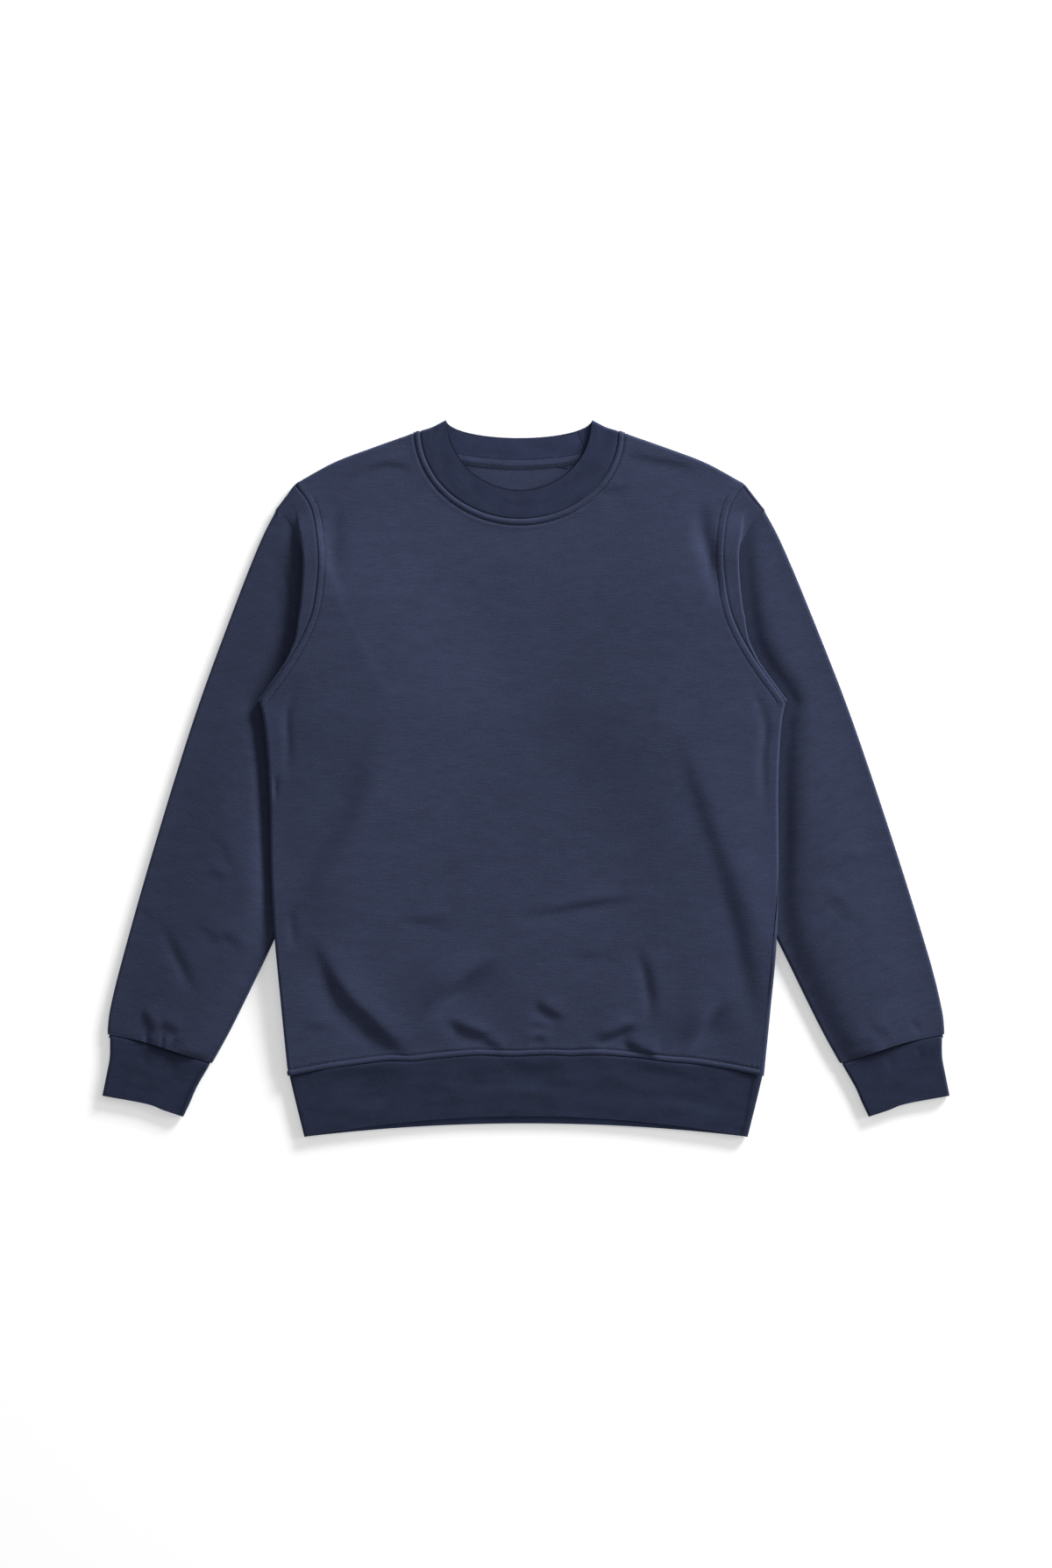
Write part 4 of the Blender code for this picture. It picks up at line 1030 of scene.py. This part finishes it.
def body_panel(name, layer, neck_drop, hem_y, step, middle):
    """One panel, with rows this step apart and this many columns between its edges."""
    rows_up = body_rows(step)
    hem = hem_curve(HEM_HALF, hem_y, HEM_CORNER_Y, seam_wave if layer == FRONT else None)
    plan = patch(hem, neck_curve(NECK_POINT, neck_drop), mirrored(BODY_EDGE), BODY_EDGE)

    def columns(row):
        up = rows_up[row]
        in_armhole = UNDERARM_SHARE < up < SHOULDER_SHARE
        rolled = between(up / UNDERARM_SHARE, ROLL_FADE)
        gap = SEAM_GAP / 2 + ROLL_EASE * 4 * rolled * (1 - rolled)
        if in_armhole and layer == BACK:
            gap += mix(BACK_ARMHOLE_GAP, LAP + LAP_GAP - SEAM_GAP / 2, float(lapped(armhole_share(up))))
        sides = []
        by_shoulder = SHOULDER_SHARE + AT_SHOULDER
        for end, rolled_on in ((0.0, RIGHT_SEAM_ROLL * rolled), (1.0, LEFT_SEAM_ROLL * rolled)):
            inset, edge_drop = seam_columns(layer, EDGE_COLUMNS, rolled_on, 0.0 if in_armhole else LOFT, gap)
            reach = edge_reach(plan, up, end)
            if abs(up - SHOULDER_SHARE) < AT_SHOULDER:
                reach = edge_reach(plan, by_shoulder, end)
            if in_armhole:
                reach = mix(edge_reach(plan, by_shoulder, end), reach, smoothstep(armhole_share(up) / 0.3))
            sides.append((inset / reach, edge_drop))
        (left, left_drop), (right, right_drop) = sides
        inner = np.linspace(left[-1], 1 - right[-1], middle + 2)[1:-1]
        across = np.concatenate([left, inner, 1 - right[::-1]])
        drop = np.concatenate([left_drop, np.full(middle, float(layer)), right_drop[::-1]])
        return across, across, drop

    def front(across, row):
        points = plan(across, rows_up[row])
        height = front_height(*points.T) if layer == FRONT else back_height(*points.T) + LOFT
        return with_height(points, height)

    def back(across, row):
        points = plan(across, rows_up[row])
        return with_height(points, back_height(*points.T))

    grid = lay(front, back, columns, len(rows_up))
    x, y = grid[..., 0], grid[..., 1]
    relief = 0.0
    if layer == FRONT:
        grid[..., 2] += on_front(grid, back_height(x, y), LOFT, 0.4) * front_fullness(x, y)
        relief = front_seams(x, y)
    else:
        grid[..., 2] += on_back(grid, back_height(x, y), LOFT, 0.4) * creased(BACK_CREASES, x, y)
    travelled = run_lengths(grid, 1)
    middle_at = travelled[:, travelled.shape[1] // 2][:, None]
    cloth_map = np.stack([travelled - middle_at, y], axis=-1)
    return shell(name, grid, np.full(x.shape, FLEECE), cloth_map, FLEECE_CLOTH, relief)


def sleeve(name, side, seam_roll):
    """One sleeve: a single cut, folded down its outer edge and sewn to itself along its underarm seam.
    side is 1 for the wearer's left and -1 for the right."""
    flat_rows = np.linspace(3.0, SLEEVE_LENGTH - SEAM_GAP / 2, 130) / SLEEVE_LENGTH
    ups = np.concatenate([np.zeros(PLEAT_ROWS), flat_rows])
    seam_count, middle = 7, len(ARMHOLE_ROWS)

    def front(across, row):
        if row < PLEAT_ROWS:
            return over_pleat[:, row]
        plan = SLEEVE_PATCH(across, ups[row])
        return with_height(plan, sleeve_height(plan))

    def back(across, row):
        if row < PLEAT_ROWS:
            return under_pleat[:, row]
        return with_height(SLEEVE_PATCH(across, ups[row]), FLEECE / 2)

    def columns(row):
        in_pleat = row < PLEAT_ROWS
        rolled, loft = seam_roll * smoothstep(ups[row] / 0.3), 0.0
        reach = [ARMHOLE_LINE.length] * 2
        if not in_pleat:
            reach = [edge_reach(SLEEVE_PATCH, ups[row], end) for end in (0, 1)]
            loft = float(sleeve_loft(*SLEEVE_PATCH(1.0, ups[row])))
        inner, inner_drop = seam_columns(FRONT, seam_count, rolled, loft)
        under, under_drop = seam_columns(BACK, seam_count, rolled, loft)
        inset, outer_drop = edge_path(ROUND_SLEEVE * LOFT / 2, LOFT)
        outer = (inset * (NARROWED if in_pleat else 1.0) + FLEECE / 2) / reach[0]
        inner, under = 1 - inner / reach[1], 1 - under / reach[1]
        over = below = armhole_share(ARMHOLE_ROWS)
        if not in_pleat:
            over = np.linspace(inner[-1], outer[0], middle + 2)[1:-1]
            below = np.linspace(under[-1], outer[-1], middle + 2)[1:-1]
        across = np.concatenate([inner, over, outer, below[::-1], under[::-1]])
        drop = [inner_drop, np.zeros(middle), outer_drop, np.ones(middle), under_drop[::-1]]
        return across, across, np.concatenate(drop)

    first = columns(0)[0]
    over_pleat, under_pleat = pleat_front(first, side), pleat_back(first)
    grid = lay(front, back, columns, len(ups))
    x, y = grid[..., 0], grid[..., 1]
    fullness = (sleeve_loft(x, y) - PRESSED_LOFT) / (LOFT - PRESSED_LOFT)
    thickness = mix(PRESSED_FLEECE, FLEECE, fullness)
    over, lying = on_front(grid, FLEECE / 2, LOFT, 0.25), on_back(grid, FLEECE / 2, LOFT, 0.3)
    over[:PLEAT_ROWS] = lying[:PLEAT_ROWS] = 0.0
    cuff_fade = between(y, CUFF_FADE)
    swell = SLEEVE_CROWN["height"]
    for edge, curve in (("outer", OUTER_LINE), ("inner", INNER_LINE), ("beside", BESIDE_BODY)):
        swell = swell * crown(distance(curve.points[::4], x, y, 90.0), SLEEVE_CROWN[edge])
    swell += creased(SLEEVE_CREASES[side], side * x, y) + 0.5 * undulation(x + 150, y)
    room = sleeve_loft(x, y) - thickness - LEAST_ROOM
    grid[..., 2] += over * np.maximum(cuff_fade * swell, -np.maximum(room, 0.0))
    grid[..., 2] += lying * cuff_fade * fullness**2 * creased(UNDER_SLEEVE_CREASES[side], side * x, y)
    travelled_up = run_lengths(grid, 0)
    relief = groove(travelled_up, 0.0, 1.0, 0.5) + groove(travelled_up[-1:] - travelled_up, 0.0, 1.1, 0.5)
    travelled = run_lengths(grid, 1)
    outer_column = travelled[:, travelled.shape[1] // 2][:, None]
    cloth_map = np.stack([travelled - outer_column, travelled_up[-1:] - travelled_up], axis=-1)
    grid = one_side(grid, side)[::-1]
    thickness, cloth_map, relief = (values[::-1, ::side] for values in (thickness, cloth_map, relief))
    # The sleeve takes the darker fleece, which carries painted shade.
    return shell(name, grid, thickness, cloth_map, SLEEVE_CLOTH_PAINTED_SHADE, relief)


OUTER_LINE, INNER_LINE = smooth_curve(OUTER_EDGE), smooth_curve(INNER_EDGE)
PLEAT_SHARES = np.linspace(0.04, 1, 60)
PLEAT_EDGE = ARMHOLE_LINE(PLEAT_SHARES) + armhole_outwards(PLEAT_SHARES) * pleat_width(PLEAT_SHARES)[:, None]
BESIDE_BODY = line(np.vstack([PLEAT_EDGE, SIDE_LINE.points[::-1][1:100]]))


# Rib pieces are flattened rings.


def ring(name, plans, ups, shares, materials, wales, creases, seam_row=-1, side=1):
    """A flattened tube of doubled rib. Its columns run over the front, round one fold, over the back
    and round the other fold. wales is how many there are round the ring."""
    front_plan, back_plan = plans
    inset, drop = edge_path(ROUND_RIB * RIB_LOFT / 2, RIB_LOFT)

    def round_shares(plan, row):
        """The shares across on one layer's outline, once round the ring."""
        left, right = ((inset + RIB / 2) / edge_reach(plan, ups[row], end) for end in (0, 1))
        flat = np.clip(shares, left.max(), 1 - right.max())
        return np.concatenate([flat, 1 - right, flat[::-1], left[::-1]])

    def columns(row):
        drops = np.concatenate([np.zeros(len(shares)), drop, np.ones(len(shares)), drop[::-1]])
        return round_shares(front_plan, row), round_shares(back_plan, row), drops

    def layer(plan, height):
        return lambda across, row: with_height(plan(across, ups[row]), height)

    grid = lay(layer(front_plan, RIB / 2 + RIB_LOFT), layer(back_plan, RIB / 2), columns, len(ups))
    over = on_front(grid, RIB / 2, RIB_LOFT, 0.4)[:, ::side]
    grid = one_side(grid, side)
    grid[..., 2] += over * creased(creases, grid[..., 0], grid[..., 1])
    travelled = run_lengths(np.concatenate([grid, grid[:, :1]], axis=1), 1)[len(ups) // 2]
    height = run_lengths(grid, 0)
    from_seam = np.abs(height - height[[seam_row]])
    height = np.concatenate([height, height[:, :1]], axis=1)
    round_ring = np.broadcast_to(travelled / travelled[-1] * wales * RIB_PITCH, height.shape)
    cloth_map = np.stack([round_ring, height], axis=-1)
    relief = groove(from_seam, 0.0, 1.0, 0.5)
    outer, inner = materials
    return shell(name, grid, np.full(grid.shape[:2], RIB), cloth_map, outer, relief, True, inner)


def rib_rows(at_edge, inner, count, last, depth):
    """Shares up a rib piece, with close rows at its free edge and next to its seam."""
    return np.concatenate([at_edge, np.linspace(*inner, count), 1 - np.array(RIB_SEAM_ROWS + [last]) / depth])


def hem_band():
    side = smooth_curve(BAND_SIDE)

    def plan(edge_y, seam_y, wave):
        bottom = hem_curve(BAND_HALF, edge_y, BAND_CORNER_Y)
        top = hem_curve(BAND_TOP_HALF, seam_y, HEM_CORNER_Y + SEAM_GAP, wave)
        return patch(bottom, top, mirrored(side), side)

    ups = rib_rows([0.0, 0.012], (0.03, 0.93), 34, SEAM_GAP, 66.0)
    shares = np.linspace(0.012, 0.988, 226)
    plans = plan(FRONT_BAND_Y, FRONT_HEM_Y, seam_wave), plan(BACK_BAND_Y, BACK_HEM_Y, None)
    # The band's inner face takes the rib lightened as painted light.
    return ring("hem_band_cloth", plans, ups, shares, (RIB_CLOTH, RIB_INSIDE_PAINTED_LIGHT), BAND_WALES, BAND_CREASES)


def cuff(name, side):
    plan = patch(*(smooth_curve(edge) for edge in (CUFF_END, CUFF_TOP, CUFF_INNER, CUFF_OUTER)))
    ups = rib_rows([0.0, 0.015], (0.035, 0.93), 32, 0.0, 62.0)
    shares = np.linspace(0.045, 0.955, 84)
    # The cuffs' inner faces take the same rib, lightened as painted light.
    materials = RIB_CLOTH, RIB_INSIDE_PAINTED_LIGHT
    return ring(name, (plan, plan), ups, shares, materials, CUFF_WALES, CUFF_CREASES[side], side=side)


def collar():
    fold = smooth_curve(COLLAR_FOLD)
    plans = [
        patch(neck_curve(NECK_POINT, seam_drop), neck_curve(COLLAR_PEAK, edge_drop), mirrored(fold), fold)
        for seam_drop, edge_drop in ((FRONT_NECK_DROP, FRONT_COLLAR_DROP), (BACK_NECK_DROP, BACK_COLLAR_DROP))
    ]
    ups = np.concatenate([np.array([0.15, 0.9, 1.8, 2.8]) / 29.0, np.linspace(0.14, 0.97, 22), [0.988, 1.0]])
    shares = np.linspace(0.03, 0.97, 200)
    materials = COLLAR_CLOTH, COLLAR_INSIDE
    return ring("collar_cloth", plans, ups, shares, materials, COLLAR_WALES, [], seam_row=0)


def collar_lip_painted_shade():
    """A narrow strip inside the collar front's edge, shaped as its inner layer and darkened as painted shade.
    """
    share = np.linspace(*INNER_SHARE, 160)
    height = RIB_LOFT - LIP_THICKNESS / 2 - 0.1
    narrowed = np.clip(np.minimum(share, 1 - share) / LIP_END, LEAST_LIP, 1.0)[:, None]
    edge = neck_curve(COLLAR_PEAK, FRONT_COLLAR_DROP)
    return strip("collar_lip_painted_shade", edge, share, LIP_LINES, height, LIP_THICKNESS, LIP_PAINTED_SHADE_CLOTH, narrowed)


def tape_thickness(below):
    return mix(*TAPE_THICKNESS, smoothstep(below / TAPE_WIDTH))


def neck_tape():
    """The strip that covers the back neck seam inside. It lies on the back panel."""
    seam = neck_curve(NECK_POINT, BACK_NECK_DROP)(np.linspace(*TAPE_ENDS, 180))
    below = np.linspace(TAPE_WIDTH, SEAM_GAP, 14)
    thickness = tape_thickness(below)
    height = FLEECE + TAPE_GAP + thickness / 2
    grid = np.array([with_height(seam - [0, down], up) for down, up in zip(below, height)])
    travelled = run_lengths(grid, 1)
    cloth_map = np.stack([travelled, np.broadcast_to(-below[:, None], travelled.shape)], axis=-1)
    relief = sum(groove(below, TAPE_WIDTH - up, 0.6, depth) for up, depth in zip(TAPE_STITCHES, TAPE_FURROWS))
    relief += TAPE_ROUND * np.clip(1 - ((below - TAPE_WIDTH / 2) / (TAPE_WIDTH / 2)) ** 2, 0, 1)
    relief, thickness = (np.broadcast_to(row[:, None], travelled.shape) for row in (relief, thickness))
    return shell("neck_tape_cloth", grid, thickness, cloth_map, TAPE_CLOTH, relief)


def offset_line(curve, away, ends=(0.0, 1.0), count=400):
    """The line beside a curve, to the left of its way."""
    share = np.linspace(*ends, count)
    return line(curve(share) + square_to(curve, np.clip(share, *INNER_SHARE)) * away)


def level(height):
    return lambda x, y: np.full(x.shape, height)


def shoulder_inside(x, y):
    """Just under the front layer beside the top of the armhole."""
    return front_height(x, y) - FLEECE / 2 - ALLOWANCE / 2 - SEAM_GAP


def allowance(name, curve, half_width, height, ends):
    """The seam allowances that lie inside a seam, under the edges of both pieces."""
    share = np.linspace(*ends, 80)
    if callable(height):
        height = height(*curve(share).T)
    return strip(name, curve, share, (-half_width, 0.0, half_width), height, ALLOWANCE, FLEECE_CLOTH)


def small_pieces():
    """Topstitching, seam allowances, the ribs' own seams where they show, and a loose thread end."""
    neck = offset_line(NECK_LINE, -SEAMS["neck"]["stitch"])
    hem_x = np.linspace(-HEM_HALF + 5, HEM_HALF - 5, 500)
    hem = line(np.stack([hem_x, hem_line_y(hem_x) + SEAMS["hem"]["stitch"]], axis=-1))
    arm = offset_line(ARMHOLE_LINE, -SEAMS["arm"]["stitch"], (0.02, 0.985))
    back_neck = neck_curve(NECK_POINT, BACK_NECK_DROP)
    tape_seam = back_neck(np.linspace(TAPE_ENDS[0] + 0.01, TAPE_ENDS[1] - 0.01, 200))
    tape = []
    for below in (TAPE_WIDTH - up for up in TAPE_STITCHES):
        tape.append((line(tape_seam - [0, below]), level(FLEECE + TAPE_GAP + tape_thickness(below) + 0.05)))
    hem_seam = hem_curve(BAND_TOP_HALF, FRONT_HEM_Y, HEM_CORNER_Y + SEAM_GAP, seam_wave)
    cuff_seam = line(CUFF_SEAM)
    inside = FLEECE / 2 + LOFT / 2
    rib_top = RIB * 1.5 + RIB_LOFT - 0.1
    cuff_end_seam = mirrored(smooth_curve(np.array(CUFF_INNER) + [3.0, 1.5]))

    def rib_seam(name, curve, surface, half=0.42):
        """Stitches so close that they read as one line."""
        return stitches(name, [(curve, surface)], 1.5, 1.6, half)

    made = [
        stitches("neck_topstitch", [(neck, front_top)]),
        stitches("hem_topstitch", [(hem, front_top)]),
        stitches("armhole_topstitch_left", [(arm, front_top)]),
        stitches("armhole_topstitch_right", [(mirrored(arm), front_top)]),
        stitches("tape_topstitch", tape),
        allowance("hem_allowance", hem_seam, 4.0, inside, (0.0005, 0.9995)),
        allowance("cuff_allowance_left", line(cuff_seam.points[::-1]), 3.0, inside, INNER_SHARE),
        allowance("cuff_allowance_right", mirrored(cuff_seam), 3.0, inside, INNER_SHARE),
        allowance("armhole_allowance_left", ARMHOLE_LINE, 2.6, shoulder_inside, (0.003, 0.32)),
        allowance("armhole_allowance_right", mirrored(ARMHOLE_LINE), 2.6, shoulder_inside, (0.003, 0.32)),
        allowance("back_neck_allowance", back_neck, 0.12, ALLOWANCE, (0.12, 0.88)),
        rib_seam("band_seam", smooth_curve(BAND_SEAM), lambda x, y: rib_top + creased(BAND_CREASES, x, y)),
        rib_seam("cuff_seam_right", cuff_end_seam, level(rib_top)),
        rib_seam("collar_seam", line(COLLAR_SEAM), level(RIB - 0.1)),
        rib_seam("thread_end", line(THREAD_END), level(FLEECE + 0.3), 0.4),
        # The strip of painted shade inside the collar's front edge.
        collar_lip_painted_shade(),
    ]
    return {piece.name: piece for piece in made}


def surroundings():
    """White light from all round, lamps, white paper under the garment, and the camera straight above it."""
    world = bpy.data.worlds.new("white_room")
    world.use_nodes = True
    fill(world.node_tree.nodes["Background"], {"Color": WHITE, "Strength": AMBIENT})
    bpy.context.scene.world = world
    for lamp in LAMPS:
        light = bpy.data.lights.new(lamp["name"], "AREA")
        light.shape = "RECTANGLE"
        light.size, light.size_y = lamp["size"]
        light.energy = lamp["power"]
        holder = add(lamp["name"], light, lamp["place"])
        holder.rotation_euler = (-Vector(lamp["place"])).to_track_quat("-Z", "Y").to_euler()
    paper = Look("paper", PAPER, 0.9, 0.0)
    paper.shade(paper.sum_of(0.995, [(paper.object_noise(2.0), 0.01)]))
    fill(paper.shader, {"Emission Color": WHITE, "Emission Strength": PAPER_GLOW})
    sides = (-1, -1), (1, -1), (1, 1), (-1, 1)
    corners = [(x * PAPER_HALF, y * PAPER_HALF, -PAPER_DROP) for x, y in sides]
    mesh_object("floor", corners, [(0, 1, 2, 3)], paper.material)
    camera = bpy.data.cameras.new("camera")
    camera.lens, camera.sensor_fit, camera.sensor_height = LENS, "VERTICAL", SENSOR
    camera.clip_end = 50.0
    x, y, z = CAMERA_TARGET
    bpy.context.scene.camera = add("camera", camera, (x, y, z + PICTURE_HEIGHT * LENS / SENSOR))
    bpy.context.scene.view_settings.view_transform = "Standard"


def main():
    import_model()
    surroundings()
    pieces = {
        "front_panel": body_panel("front_cloth", FRONT, FRONT_NECK_DROP, FRONT_HEM_Y, *FRONT_MESH),
        "back_panel": body_panel("back_cloth", BACK, BACK_NECK_DROP, BACK_HEM_Y, *BACK_MESH),
        "sleeve_right": sleeve("sleeve_right_cloth", -1, RIGHT_SLEEVE_ROLL),
        "sleeve_left": sleeve("sleeve_left_cloth", 1, LEFT_SLEEVE_ROLL),
        "hem_band": hem_band(),
        "cuff_right": cuff("cuff_right_cloth", -1),
        "cuff_left": cuff("cuff_left_cloth", 1),
        "collar": collar(),
        "neck_tape": neck_tape(),
    }
    small = small_pieces()
    for piece in small.values():
        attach(piece, "root")
    for node, piece in pieces.items():
        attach(piece, "root")
        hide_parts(node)
    bpy.context.view_layer.update()


main()
